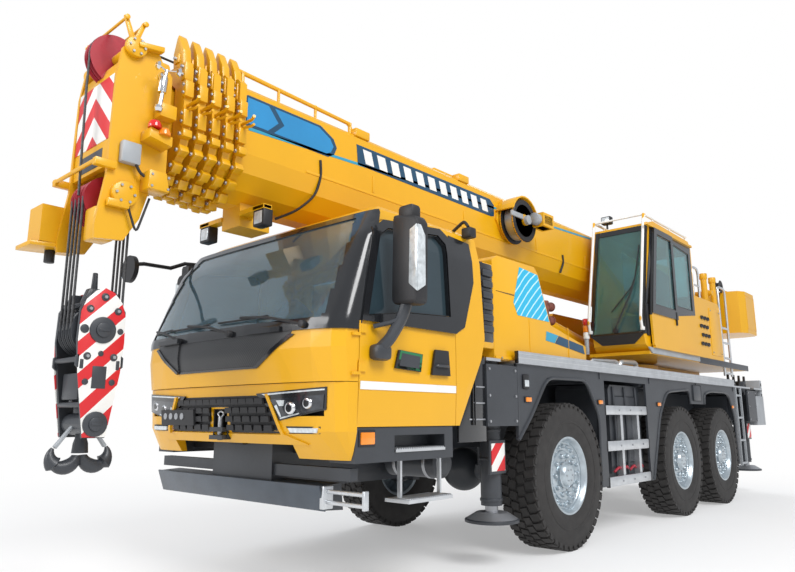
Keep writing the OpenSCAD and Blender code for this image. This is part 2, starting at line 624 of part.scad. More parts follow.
// ---- boom ----------------------------------------------------------------------------------
// outline of section n (0 = base) grown by g
function belly(hw, zw, zb, n = 7) = [for (i = [0:n]) let (a = 180 * i / n)
  [hw * cos(a), zw - (zw - zb) * sin(a)]];
function section_pts(n, g) = let (hw = boom_half_w - n * boom_step + g, zt = boom_z1 - n * boom_step + g,
  zb = boom_z0 + n * boom_step - g) concat([[-hw, zt - 40], [-hw + 40, zt], [hw - 40, zt], [hw, zt - 40]],
  belly(hw, boom_weld_z, zb));
function section_x0(n) = n == 0 ? boom_x0 : pivot_x + 60 + 60 * n;
function section_x1(n) = boom_x1 + n * collar_pitch;
// pads at the tail that slide under the roof of the section outside
module slide_pads(n) {
  z = [boom_z1 - n * boom_step - 10, boom_z1 - (n - 1) * boom_step - boom_t - run];
  both_sides() box([section_x0(n), section_x0(n) + 120], [70, 130], z);
}
module boom_section(n) {
  difference() {
    union() {
      along_x([section_x0(n), section_x1(n)], section_pts(n, 0));
      along_x([section_x1(n) - 60, section_x1(n)], section_pts(n, 28 + 24 * n));
      if (n > 0) slide_pads(n);
      both_sides() along_x([section_x1(n) - 55, section_x1(n) - 5], [[190, boom_z1 - 20], [200, 3900],
        [240, 3920], [300, boom_z1 - 30]]);
      children();
    }
    along_x([section_x0(n) - 10, section_x1(n) + 10], section_pts(n, -boom_t));
  }
}
module boom_base() color("#f2b21b") difference() {
  boom_section(0) {
    both_sides() along_y([lug_y, lug_y + 40], [[lug_x - 420, 2890], [lug_x - 110, lug_z - 20],
      [lug_x - 60, lug_z - 95], [lug_x + 60, lug_z - 95], [lug_x + 110, lug_z - 20], [lug_x + 420, 2890]]);
    both_sides() along_y([boom_half_w - 5, wall_y - 5], [[pivot_x - 200, pivot_z - 100],
      [pivot_x - 100, pivot_z - 180], [pivot_x + 100, pivot_z - 180], [pivot_x + 500, 3300],
      [pivot_x + 500, 3600], [pivot_x - 300, 3600]]);
    both_sides() cyl_y(lug_x, [lug_y + 39, lug_y + 65], lug_z, 70);
    // camera box under the collar
    box([4270, 4560], [-120, 120], [2700, 2900]);
    cable_reel();
    // rail beside the rope guides
    path([[4700, 275, 3740], [4700, 275, 3890], [3550, 300, 3845], [3550, 300, 3740]], 17);
    // work lights on their arms
    both_sides() {
      box([4490, 4570], [119, 440], [2780, 2815]);
      box([4480, 4560], [308, 432], [2660, 2781]);
    }
  }
  cyl_y(pivot_x, [-600, 600], pivot_z, pin_r + 30 + run);
}
// reel with its motor on the left wall of the base section
reel_x = 1020;
reel_z = 3440;
module cable_reel() {
  cyl_y(reel_x, [boom_half_w - 1, 600], reel_z, 60);
  cyl_y(reel_x, [400, 575], reel_z, 170);
  for (y = [400, 560]) cyl_y(reel_x, [y, y + 15], reel_z, 250);
  box([reel_x - 420, reel_x - 180], [560, 720], [reel_z - 40, reel_z + 120]);
  box([reel_x - 220, reel_x + 60], [574, 602], [reel_z, reel_z + 60]);
}
module boom_tube(n) color("#f2b21b") boom_section(n);
HEAD_PLATE = [[5300, 2740], [5416, 2700], [5465, 2514], [5562, 2350], [5747, 2330], [5755, 2420],
              [5705, 2763], [5695, 3468], [5668, 3680], [5600, 3765], [5440, 3785], [5372, 3670],
              [5300, 3600]];
// bars over the upper sheaves, each on two flat arms
guard_reach = top_groove_r + 42;
module rope_guards() for (a = [-17, 19]) {
  x = head_x + guard_reach * sin(a);
  z = top_sheave_z + guard_reach * cos(a);
  cyl_y(x, [-head_plate_y - 40, head_plate_y + 40], z, 10);
  both_sides() along_y([head_plate_y + 6, head_plate_y + 24], [[head_x - 20, top_sheave_z + 42],
    [head_x + 20, top_sheave_z + 42], [x + 14, z + 15], [x - 14, z + 15]]);
}
module boom_head() color("#f2b21b") {
  n = 5;
  difference() {
    union() {
      along_x([section_x0(n), section_x1(n) + 60], section_pts(n, 0));
      both_sides() along_y([head_plate_y, head_plate_y + 30], HEAD_PLATE);
      box([5300, 5340], [-head_plate_y - 1, head_plate_y + 1], [2900, 3640]);
      box([5650, 5670], [-head_plate_y - 1, head_plate_y + 1], [2930, 3460]);
      slide_pads(n);
      // switch box
      box([5620, 5860], [-520, -299], [2400, 2660]);
      rope_guards();
      for (z = [head_z, top_sheave_z]) cyl_y(head_x, [-head_plate_y - 50, head_plate_y + 50], z, 40);
    }
    along_x([section_x0(n) - 10, 5290], section_pts(n, -boom_t));
  }
}
module sheave_section(r) polygon([[40 + run, -20], [r + 16, -20], [r + 16, -16], [r, -rope_r],
  [r, rope_r], [r + 16, 16], [r + 16, 20], [40 + run, 20]]);
module sheave_stack(x, z, ys, r = groove_r)
  for (y = ys) translate([x, y, z]) rotate([90, 0, 0]) rotate_extrude($fn = 48) sheave_section(r);
FALLS_Y = [for (i = [-1.5:1:1.5]) i * fall_pitch];
module head_sheaves() color("#a51f2b") {
  sheave_stack(head_x, head_z, FALLS_Y);
  sheave_stack(head_x, top_sheave_z, [-fall_pitch / 2, fall_pitch / 2], top_groove_r);
}
module luff_barrel() color("#f2b21b") translate([foot_x, 0, foot_z]) rotate([0, -foot_a, 0]) difference() {
  union() {
    cyl_y(0, [-90, 90], 0, 100);
    box([60, 230], [-80, 80], [-80, 80]);
    translate([200, 0, 0]) rotate([0, 90, 0]) cylinder(r = barrel_r, h = closed_len - 480);
  }
  cyl_y(0, [-200, 200], 0, pin_r + run);
  translate([260, 0, 0]) rotate([0, 90, 0]) cylinder(r = rod_r + run, h = closed_len);
}
module luff_rod() color("#c9ccd0") translate([foot_x, 0, foot_z]) rotate([0, -foot_a, 0]) {
  translate([300, 0, 0]) rotate([0, 90, 0]) cylinder(r = rod_r, h = closed_len - 380);
  difference() {
    cyl_y(closed_len, [-lug_y + 5, lug_y - 5], 0, 100);
    cyl_y(closed_len, [-200, 200], 0, pin_r);
  }
}

// ---- hook ----------------------------------------------------------------------------------
module hoist_falls() color("#2c2d2f") for (y = FALLS_Y, s = [-1, 1])
  translate([head_x + s * (groove_r + rope_r + run), y, block_z])
    cylinder(r = rope_r, h = head_z - block_z, $fn = 8);
module hook_block() color("#1f2022") {
  both_sides() along_y([150, 175], [[head_x - 150, 1700], [head_x - 145, 1900], [head_x - 70, 2030],
    [head_x + 70, 2030], [head_x + 145, 1900], [head_x + 150, 1700], [head_x + 70, 1095],
    [head_x - 70, 1095]]);
  sheave_stack(head_x, block_z, FALLS_Y);
  cyl_y(head_x, [-185, 185], block_z, 42);
  difference() {
    cyl_y(head_x, [-185, 185], 1180, 70);
    translate([head_x, 0, 1000]) cylinder(r = 35 + run, h = 400);
  }
}
module double_hook() color("#232427") {
  translate([head_x, 0, 1020]) cylinder(r = 35, h = 290);
  translate([head_x, 0, 1250 + run]) cylinder(r = 60, h = 50);
  translate([head_x, 35, 990]) rotate([90, 0, 0]) linear_extrude(70) difference() {
    intersection() {
      union() for (s = [-1, 1]) translate([s * 100, 0]) circle(r = 110, $fn = 64);
      translate([-300, -200]) square([600, 235]);
    }
    for (s = [-1, 1]) translate([s * 100, 0]) { circle(r = 48); translate([-48, 0]) square([96, 100]); }
  }
}

chassis_frame();
axle_beams();
drive_unit();
carrier_cab();
front_bumper();
cab_trim();
cab_glass();
cab_interior();
cab_door(1);  // cab_door_left
cab_door(-1);  // cab_door_right
door_glass(1);  // door_glass_left
door_glass(-1);  // door_glass_right
door_mirror(1);  // mirror_left
door_mirror(-1);  // mirror_right
side_skirts();
carrier_deck();
engine_cover();
side_tanks();
side_guards();
rear_locker();
knuckle(0, 1);  // knuckle_1l
knuckle(0, -1);  // knuckle_1r
knuckle(1, 1);  // knuckle_2l
knuckle(1, -1);  // knuckle_2r
knuckle(2, 1);  // knuckle_3l
knuckle(2, -1);  // knuckle_3r
wheel(0, 1);  // wheel_1l
wheel(0, -1);  // wheel_1r
wheel(1, 1);  // wheel_2l
wheel(1, -1);  // wheel_2r
wheel(2, 1);  // wheel_3l
wheel(2, -1);  // wheel_3r
outrigger_beam(1, 1);  // outrigger_beam_fl
outrigger_beam(1, -1);  // outrigger_beam_fr
outrigger_beam(-1, 1);  // outrigger_beam_rl
outrigger_beam(-1, -1);  // outrigger_beam_rr
outrigger_jack(1, 1);  // outrigger_jack_fl
outrigger_jack(1, -1);  // outrigger_jack_fr
outrigger_jack(-1, 1);  // outrigger_jack_rl
outrigger_jack(-1, -1);  // outrigger_jack_rr
turntable();
counterweight();
operator_cab();
operator_glass();
operator_door();
operator_seat();
service_housing();
hoist_drum();
boom_base();
boom_tube(1);  // boom_2
boom_tube(2);  // boom_3
boom_tube(3);  // boom_4
boom_tube(4);  // boom_5
boom_head();
head_sheaves();
luff_barrel();
luff_rod();
hoist_falls();
hook_block();
double_hook();
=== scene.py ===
import json
from math import cos, sin, pi, radians

import bmesh
import bpy
from mathutils import Euler, Matrix, Vector
from mathutils.bvhtree import BVHTree


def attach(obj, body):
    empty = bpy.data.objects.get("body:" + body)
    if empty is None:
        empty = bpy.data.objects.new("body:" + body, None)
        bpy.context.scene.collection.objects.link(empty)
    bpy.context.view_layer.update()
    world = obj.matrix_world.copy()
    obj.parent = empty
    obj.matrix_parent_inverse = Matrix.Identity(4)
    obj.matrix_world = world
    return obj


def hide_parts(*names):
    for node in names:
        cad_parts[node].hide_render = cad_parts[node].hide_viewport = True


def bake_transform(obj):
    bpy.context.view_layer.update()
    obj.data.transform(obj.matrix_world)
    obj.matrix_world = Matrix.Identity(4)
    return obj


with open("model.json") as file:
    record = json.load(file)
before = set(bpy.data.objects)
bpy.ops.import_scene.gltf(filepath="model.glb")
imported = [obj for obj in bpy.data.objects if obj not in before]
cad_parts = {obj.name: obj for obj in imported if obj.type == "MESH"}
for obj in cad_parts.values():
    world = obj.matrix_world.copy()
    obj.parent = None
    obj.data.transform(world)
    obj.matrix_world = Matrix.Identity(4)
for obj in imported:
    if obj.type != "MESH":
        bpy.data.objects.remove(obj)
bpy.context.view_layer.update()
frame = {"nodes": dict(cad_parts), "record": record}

# %% [markdown]
# The picture was taken from low in front of the left corner with a moderately wide lens,
# looking slightly up, so the cab is large and the tail recedes. The camera repeats that
# place and lens, with no shift and no blur.
# %% Camera
CAMERA_PLACE = Vector((7.483, 4.421, 1.224))
CAMERA_YAW = radians(-138.05)
CAMERA_PITCH = radians(11.13)
LENS_MM = 30.17

camera_data = bpy.data.cameras.new("camera")
camera_data.lens = LENS_MM
camera_data.sensor_width = 36.0
camera = bpy.data.objects.new("camera", camera_data)
bpy.context.scene.collection.objects.link(camera)
camera.location = CAMERA_PLACE
look = Vector((cos(CAMERA_PITCH) * cos(CAMERA_YAW), cos(CAMERA_PITCH) * sin(CAMERA_YAW), sin(CAMERA_PITCH)))
camera.rotation_euler = look.to_track_quat("-Z", "Y").to_euler()
bpy.context.scene.camera = camera
print("camera at", tuple(CAMERA_PLACE))

# %% [markdown]
# Materials and the world are both made of nodes, so two small functions make and wire them.
# %% Node maker
def set_inputs(owner, node, **values):
    """Give a node's inputs by name: each a value, or the output of a node that feeds it."""
    for name, value in values.items():
        socket = node.inputs[name.replace("_", " ")]
        if isinstance(value, bpy.types.NodeSocket):
            owner.node_tree.links.new(value, socket)
        else:
            socket.default_value = value


def add_node(owner, kind, **values):
    """A new node of a material or the world, with its inputs."""
    node = owner.node_tree.nodes.new("ShaderNode" + kind)
    set_inputs(owner, node, **values)
    return node


# %% [markdown]
# Soft studio light: a pale world, one broad lamp high on the left and weaker ones in front
# and behind. The background is white to the camera and through glass only, so the white
# does not add light on the machine.
# %% Light, floor and background
bpy.context.scene.view_settings.view_transform = "Standard"


def white_to_the_eye(owner, light_shader):
    """Mix a light shader with plain white, white where the camera or glass looks."""
    links = owner.node_tree.links
    path, seen = add_node(owner, "LightPath"), add_node(owner, "Math")
    seen.operation = "MAXIMUM"
    links.new(path.outputs["Is Camera Ray"], seen.inputs[0])
    links.new(path.outputs["Is Transmission Ray"], seen.inputs[1])
    white = add_node(owner, "Background", Color=(1.0, 1.0, 1.0, 1.0), Strength=1.0)
    mix = add_node(owner, "MixShader", Fac=seen.outputs[0])
    links.new(light_shader.outputs[0], mix.inputs[1])
    links.new(white.outputs[0], mix.inputs[2])
    return mix


world = bpy.data.worlds.new("studio")
bpy.context.scene.world = world
world.use_nodes = True
soft = world.node_tree.nodes["Background"]
set_inputs(world, soft, Color=(0.92, 0.95, 1.0, 1.0), Strength=0.62)
set_inputs(world, world.node_tree.nodes["World Output"], Surface=white_to_the_eye(world, soft).outputs[0])


def lamp(name, place, target, size, watts):
    """A round studio lamp at a place, turned to a target."""
    data = bpy.data.lights.new(name, "AREA")
    data.shape = "DISK"
    data.size = size
    data.energy = watts
    obj = bpy.data.objects.new(name, data)
    obj.location = place
    obj.rotation_euler = (Vector(target) - Vector(place)).to_track_quat("-Z", "Y").to_euler()
    bpy.context.scene.collection.objects.link(obj)


lamp("key", (6.0, 13.0, 13.0), (0, 0, 1.5), 9.0, 2300)
lamp("front", (16.0, -3.0, 7.0), (2, 0, 1.5), 8.0, 900)
lamp("back", (-13.0, -9.0, 10.0), (0, 0, 2), 9.0, 900)

floor_bm = bmesh.new()
bmesh.ops.create_grid(floor_bm, x_segments=1, y_segments=1, size=60.0)
floor_mesh = bpy.data.meshes.new("floor")
floor_bm.to_mesh(floor_mesh)
floor_bm.free()
floor = bpy.data.objects.new("floor", floor_mesh)
bpy.context.scene.collection.objects.link(floor)
floor_mat = bpy.data.materials.new("floor_white")
floor_mat.use_nodes = True
floor_shader = floor_mat.node_tree.nodes["Principled BSDF"]
set_inputs(floor_mat, floor_shader, Base_Color=(0.9, 0.9, 0.9, 1.0), Roughness=0.9)
# the floor glows white, partly near the crane and fully away from it, so that it meets the white background
# unseen; near the crane this glow is painted light that weakens the crane's shadow on the floor
floor_links = floor_mat.node_tree.links
floor_reach = add_node(floor_mat, "VectorMath")
floor_reach.operation = "LENGTH"
floor_links.new(add_node(floor_mat, "TexCoord").outputs["Object"], floor_reach.inputs[0])
floor_glow_share = add_node(floor_mat, "MapRange", From_Min=3.0, From_Max=11.0, To_Min=0.35,
                      Value=floor_reach.outputs["Value"])
floor_glow_share.interpolation_type = "SMOOTHSTEP"
floor_mix = add_node(floor_mat, "MixShader", Fac=floor_glow_share.outputs["Result"])
floor_links.new(floor_shader.outputs[0], floor_mix.inputs[1])
floor_links.new(add_node(floor_mat, "Emission").outputs[0], floor_mix.inputs[2])
set_inputs(floor_mat, floor_mat.node_tree.nodes["Material Output"], Surface=floor_mix.outputs[0])
floor_mesh.materials.append(floor_mat)

# %% [markdown]
# Finishes. Each one is built from noise on Object coordinates: a little colour change over
# the panel, a finer change of roughness, and a shallow bump, so that no surface is one
# flat colour. Values that do not vary are set on the shader itself.
# %% Finish maker
def finish(name, color, rough, metal=0.0, coat=0.0, tone=0.06, spots=6.0, grain=60.0, bump=0.02,
           dist=0.002, ior=1.5):
    """A paint, metal, plastic or rubber with mottled tone, uneven gloss and a fine bump."""
    mat = bpy.data.materials.new(name)
    mat.use_nodes = True
    place = add_node(mat, "TexCoord").outputs["Object"]
    cloud = add_node(mat, "TexNoise", Scale=spots, Detail=5.0, Vector=place).outputs["Fac"]
    ramp = add_node(mat, "ValToRGB", Fac=cloud)
    low = [c * (1.0 - tone) for c in color]
    high = [min(1.0, c * (1.0 + tone)) for c in color]
    ramp.color_ramp.elements[0].position = 0.3
    ramp.color_ramp.elements[0].color = (*low, 1.0)
    ramp.color_ramp.elements[1].position = 0.7
    ramp.color_ramp.elements[1].color = (*high, 1.0)
    fine = add_node(mat, "TexNoise", Scale=grain, Detail=3.0, Vector=place).outputs["Fac"]
    gloss = add_node(mat, "MapRange", To_Min=max(0.02, rough - 0.06), To_Max=min(1.0, rough + 0.08),
                     Value=fine)
    relief = add_node(mat, "Bump", Strength=bump, Distance=dist, Height=fine)
    set_inputs(mat, mat.node_tree.nodes["Principled BSDF"], Metallic=metal, Coat_Weight=coat,
               Coat_Roughness=0.06, IOR=ior, Base_Color=ramp.outputs["Color"],
               Roughness=gloss.outputs["Result"], Normal=relief.outputs["Normal"])
    return mat


# %% Finishes of the machine
YELLOW = (0.725, 0.37, 0.0027)
paint_yellow = finish("paint_yellow", YELLOW, 0.34, coat=0.18, tone=0.03, spots=1.5, grain=180, bump=0.015)
paint_dark = finish("paint_dark", (0.035, 0.039, 0.046), 0.42, coat=0.1, tone=0.15, spots=3)
paint_grey = finish("paint_grey", (0.32, 0.34, 0.36), 0.45, tone=0.1, spots=4)
paint_red = finish("paint_red", (0.36, 0.012, 0.03), 0.38, tone=0.12)
alloy = finish("alloy", (0.62, 0.64, 0.66), 0.34, metal=0.85, tone=0.08, spots=9, grain=140)
steel = finish("steel", (0.42, 0.43, 0.45), 0.4, metal=0.8, tone=0.12)
chrome = finish("chrome", (0.75, 0.76, 0.78), 0.12, metal=1.0, tone=0.03)
rubber = finish("rubber", (0.024, 0.022, 0.021), 0.70, tone=0.25, spots=12, grain=90, bump=0.1)
black_plastic = finish("black_plastic", (0.014, 0.014, 0.016), 0.5, tone=0.2, grain=260, bump=0.05)
wire = finish("wire", (0.06, 0.06, 0.062), 0.5, metal=0.6, tone=0.3, spots=60, grain=300, bump=0.2)
glass = finish("glass", (0.03, 0.05, 0.062), 0.05, tone=0.2, spots=1.2, grain=4, bump=0.0, ior=1.5)

FINISH_OF_SLOT = {
    "paint_yellow": paint_yellow, "paint_dark": paint_dark, "paint_grey": paint_grey,
    "paint_red": paint_red, "aluminium": alloy, "steel": steel, "chrome": chrome, "glass": glass,
    "tyre": rubber, "plastic_black": black_plastic, "rope": wire}
SLOT_OF_NODE = {row["node"]: row["material_slot"] for row in frame["record"]["subparts"]}

for name, obj in frame["nodes"].items():
    mat = FINISH_OF_SLOT[SLOT_OF_NODE[name]]
    obj.data.materials.clear()
    obj.data.materials.append(mat)
print(len(frame["nodes"]), "nodes painted")

# %% Finish with stripes
def striped(name, pale, strong, along, pitch, share=0.5, rough=0.4):
    """Even stripes of two colours; along is the direction across them, pitch their spacing in metres."""
    mat = finish(name, pale, rough)
    links = mat.node_tree.links
    shader = mat.node_tree.nodes["Principled BSDF"]
    across, part, edge = (add_node(mat, kind) for kind in ("VectorMath", "Math", "Math"))
    across.operation, part.operation, edge.operation = "DOT_PRODUCT", "FRACT", "GREATER_THAN"
    across.inputs[1].default_value = Vector(along).normalized() / pitch
    edge.inputs[1].default_value = share
    links.new(add_node(mat, "TexCoord").outputs["Object"], across.inputs[0])
    links.new(across.outputs["Value"], part.inputs[0])
    links.new(part.outputs[0], edge.inputs[0])
    mix = add_node(mat, "Mix")
    mix.data_type = "RGBA"
    pale_color = shader.inputs["Base Color"].links[0].from_socket
    set_inputs(mat, mix, Factor=edge.outputs[0], A=pale_color, B=(*strong, 1.0))
    set_inputs(mat, shader, Base_Color=mix.outputs["Result"])
    return mat


# %% Finishes of the fittings
white_paint = finish("white_paint", (0.78, 0.78, 0.76), 0.35, tone=0.04)
wheel_silver = finish("wheel_silver", (0.46, 0.52, 0.56), 0.30, metal=0.75, tone=0.12, spots=14)
amber = finish("amber", (0.85, 0.25, 0.01), 0.15, coat=0.6, tone=0.15)
red_lens = finish("red_lens", (0.6, 0.01, 0.01), 0.15, coat=0.6, tone=0.15)
lamp_glass = finish("lamp_glass", (0.62, 0.66, 0.68), 0.08, metal=0.3, tone=0.2, spots=30)
band_blue = finish("band_blue", (0.012, 0.06, 0.12), 0.35, tone=0.08)
band_cyan = finish("band_cyan", (0.03, 0.30, 0.46), 0.35, tone=0.06)
seat_cloth = finish("seat_cloth", (0.05, 0.05, 0.055), 0.9, tone=0.2, spots=40, bump=0.2)
warning_side = striped("warning_side", (0.80, 0.79, 0.76), (0.62, 0.015, 0.02), (1, 0, 1), 0.15)
front_beam_blue = finish("front_beam_blue", (0.055, 0.07, 0.09), 0.35, coat=0.2, tone=0.15)

# %% [markdown]
# Every fitting below is gathered in a Piece: welded plates, tubes, turned parts and bolts
# built by mesh operators straight in the machine's frame, one finish slot at a time.
# %% Piece builder
def about(middle, half):
    """The span of a given half width about a middle."""
    return middle - half, middle + half


class Piece:
    """One dressed piece; shapes are added in the finish of the current slot."""

    def __init__(self, name, *finishes):
        self.name, self.finishes, self.bm, self.slot = name, finishes, bmesh.new(), 0

    def use(self, mat):
        self.slot = self.finishes.index(mat)
        return self

    def mark(self, verts, matrix=None):
        if matrix is not None:
            bmesh.ops.transform(self.bm, matrix=matrix, verts=verts)
        for face in {f for v in verts for f in v.link_faces}:
            face.material_index = self.slot
        return verts

    def soften(self, verts, width, segments=2):
        if width > 0:
            edges = list({e for v in verts for e in v.link_edges})
            bmesh.ops.bevel(self.bm, geom=edges, offset=width, segments=segments, profile=0.5,
                            affect="EDGES", material=-1)

    def box(self, x, y, z, bevel=0.004, turn=(0, 0, 0)):
        verts = bmesh.ops.create_cube(self.bm, size=1.0)["verts"]
        size = Matrix.Diagonal((x[1] - x[0], y[1] - y[0], z[1] - z[0], 1))
        middle = Matrix.Translation(((x[0] + x[1]) / 2, (y[0] + y[1]) / 2, (z[0] + z[1]) / 2))
        self.mark(verts, middle @ Euler(turn).to_matrix().to_4x4() @ size)
        self.soften(verts, bevel)

    def slab(self, outline, normal, span, bevel=0.004):
        """An outline in the plane across an axis, thick from span[0] to span[1] on that axis."""
        put = {"x": lambda u, v, d: (d, u, v),
               "y": lambda u, v, d: (u, d, v),
               "z": lambda u, v, d: (u, v, d)}
        verts = [self.bm.verts.new(put[normal](u, v, span[0])) for u, v in outline]
        face = self.bm.faces.new(verts)
        made = bmesh.ops.extrude_face_region(self.bm, geom=[face])["geom"]
        moved = [g for g in made if isinstance(g, bmesh.types.BMVert)]
        bmesh.ops.translate(self.bm, vec=put[normal](0, 0, span[1] - span[0]), verts=moved)
        self.mark(verts + moved)
        self.soften(verts + moved, bevel)

    def rod(self, start, end, r, r2=None, sides=16, bevel=0.0):
        start, end = Vector(start), Vector(end)
        verts = bmesh.ops.create_cone(self.bm, cap_ends=True, segments=sides, radius1=r,
                                      radius2=r if r2 is None else r2, depth=(end - start).length)["verts"]
        turn = (end - start).to_track_quat("Z", "Y").to_matrix().to_4x4()
        self.mark(verts, Matrix.Translation((start + end) / 2) @ turn)
        self.soften(verts, bevel)

    def tube(self, points, r, bend=0.06, sides=10):
        """A round tube along points, its corners bent to a radius."""
        points = [Vector(p) for p in points]
        line = [points[0]]
        for a, b, c in zip(points, points[1:], points[2:]):
            cut = min(bend, (a - b).length * 0.45, (c - b).length * 0.45)
            p, q = b + (a - b).normalized() * cut, b + (c - b).normalized() * cut
            line += [p.lerp(b, t).lerp(b.lerp(q, t), t) for t in (0, 0.25, 0.5, 0.75, 1)]
        line.append(points[-1])
        rings = []
        for i, here in enumerate(line):
            way = (line[min(i + 1, len(line) - 1)] - line[max(i - 1, 0)]).normalized()
            verts = bmesh.ops.create_circle(self.bm, cap_ends=i in (0, len(line) - 1), segments=sides,
                                            radius=r)["verts"]
            if i == 0:
                turn = Vector((0, 0, 1)).rotation_difference(way)
            else:
                turn = last.rotation_difference(way) @ turn
            last = way
            self.mark(verts, Matrix.Translation(here) @ turn.to_matrix().to_4x4())
            rings.append(verts)
        self.skin(rings)
        self.mark([v for ring in rings for v in ring])

    def skin(self, rings):
        """Join each ring of corners to the next with a strip of faces."""
        for low, high in zip(rings, rings[1:]):
            edges = [e for ring in (low, high) for e in {e for v in ring
                    for e in v.link_edges} if e.verts[0] in ring and e.verts[1] in ring]
            bmesh.ops.bridge_loops(self.bm, edges=edges)

    def turned(self, profile, centre, axis="y", steps=48, flip=1):
        """A turned part: profile pairs of (radius, place along the axis), spun a full turn."""
        verts = [self.bm.verts.new((radius, 0, along * flip)) for radius, along in profile]
        edges = [self.bm.edges.new(pair) for pair in zip(verts, verts[1:])]
        bmesh.ops.spin(self.bm, geom=verts + edges, cent=(0, 0, 0), axis=(0, 0, 1), angle=2 * pi,
                       steps=steps, use_merge=True)
        turn = {"z": Matrix.Identity(4), "y": Matrix.Rotation(-pi / 2, 4, "X"),
                "x": Matrix.Rotation(pi / 2, 4, "Y")}
        self.mark(self.linked(verts), Matrix.Translation(centre) @ turn[axis])

    def linked(self, verts):
        """All corners that hang together with the given ones."""
        seen, queue = set(verts), list(verts)
        while queue:
            for edge in queue.pop().link_edges:
                for v in edge.verts:
                    if v not in seen:
                        seen.add(v)
                        queue.append(v)
        return list(seen)

    def bolts(self, places, axis, r=0.013, h=0.012):
        """Hexagon heads at places, standing on a panel along an axis."""
        way = Vector(axis)
        for place in places:
            place = Vector(place)
            self.rod(place - way * 0.003, place + way * h, r, r * 0.92, sides=6)

    def mirror(self):
        """Repeat everything on the other side of the machine."""
        geom = self.bm.verts[:] + self.bm.edges[:] + self.bm.faces[:]
        copied = bmesh.ops.duplicate(self.bm, geom=geom)["geom"]
        verts = [g for g in copied if isinstance(g, bmesh.types.BMVert)]
        bmesh.ops.scale(self.bm, vec=(1, -1, 1), verts=verts)

    def flip(self):
        """Move everything to the other side of the machine."""
        bmesh.ops.scale(self.bm, vec=(1, -1, 1), verts=self.bm.verts[:])

    def done(self, body, *nodes, angle=32, slot=None):
        """Turn the gathered shapes into a piece that rides a body and may replace nodes."""
        bmesh.ops.recalc_face_normals(self.bm, faces=self.bm.faces[:])
        mesh = bpy.data.meshes.new(self.name)
        self.bm.to_mesh(mesh)
        self.bm.free()
        for mat in self.finishes:
            mesh.materials.append(mat)
        mesh.shade_smooth()
        mesh.set_sharp_from_angle(angle=radians(angle))
        obj = bpy.data.objects.new(self.name, mesh)
        bpy.context.scene.collection.objects.link(obj)
        if body:
            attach(obj, body)
        if nodes:
            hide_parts(*nodes)
        print(self.name, len(mesh.polygons), "faces")
        return obj


# %% [markdown]
# The wheels: wide single tyres with deep block tread on ten-hole pressed rims. The tyre
# is a turned carcass with a groove between two rows of staggered shoulder blocks; the rim
# is a turned disc with a ring of nuts round the hub and a hub cap.
# %% Wheels
WHEELS = {"1l": (1.5, 1), "1r": (1.5, -1), "2l": (-1.55, 1), "2r": (-1.55, -1), "3l": (-3.2, 1),
          "3r": (-3.2, -1)}
TYRE_R, WHEEL_Y, RIM_R = 0.68, 1.076, 0.345
TREAD_ROWS = [  # place across the tyre, half width of the block, length, phase
    (-0.132, 0.049, 0.074, 0.0), (-0.044, 0.038, 0.078, 0.5), (0.044, 0.038, 0.078, 0.0),
    (0.132, 0.049, 0.074, 0.5)]
LUGS = 44
NUT_RING_R, HUB_RING_R = 0.272, 0.184


def ring_points(count, radius, phase=0.0):
    """Places evenly round a circle."""
    return [(radius * cos(2 * pi * (i + phase) / count), radius * sin(2 * pi * (i + phase) / count))
            for i in range(count)]


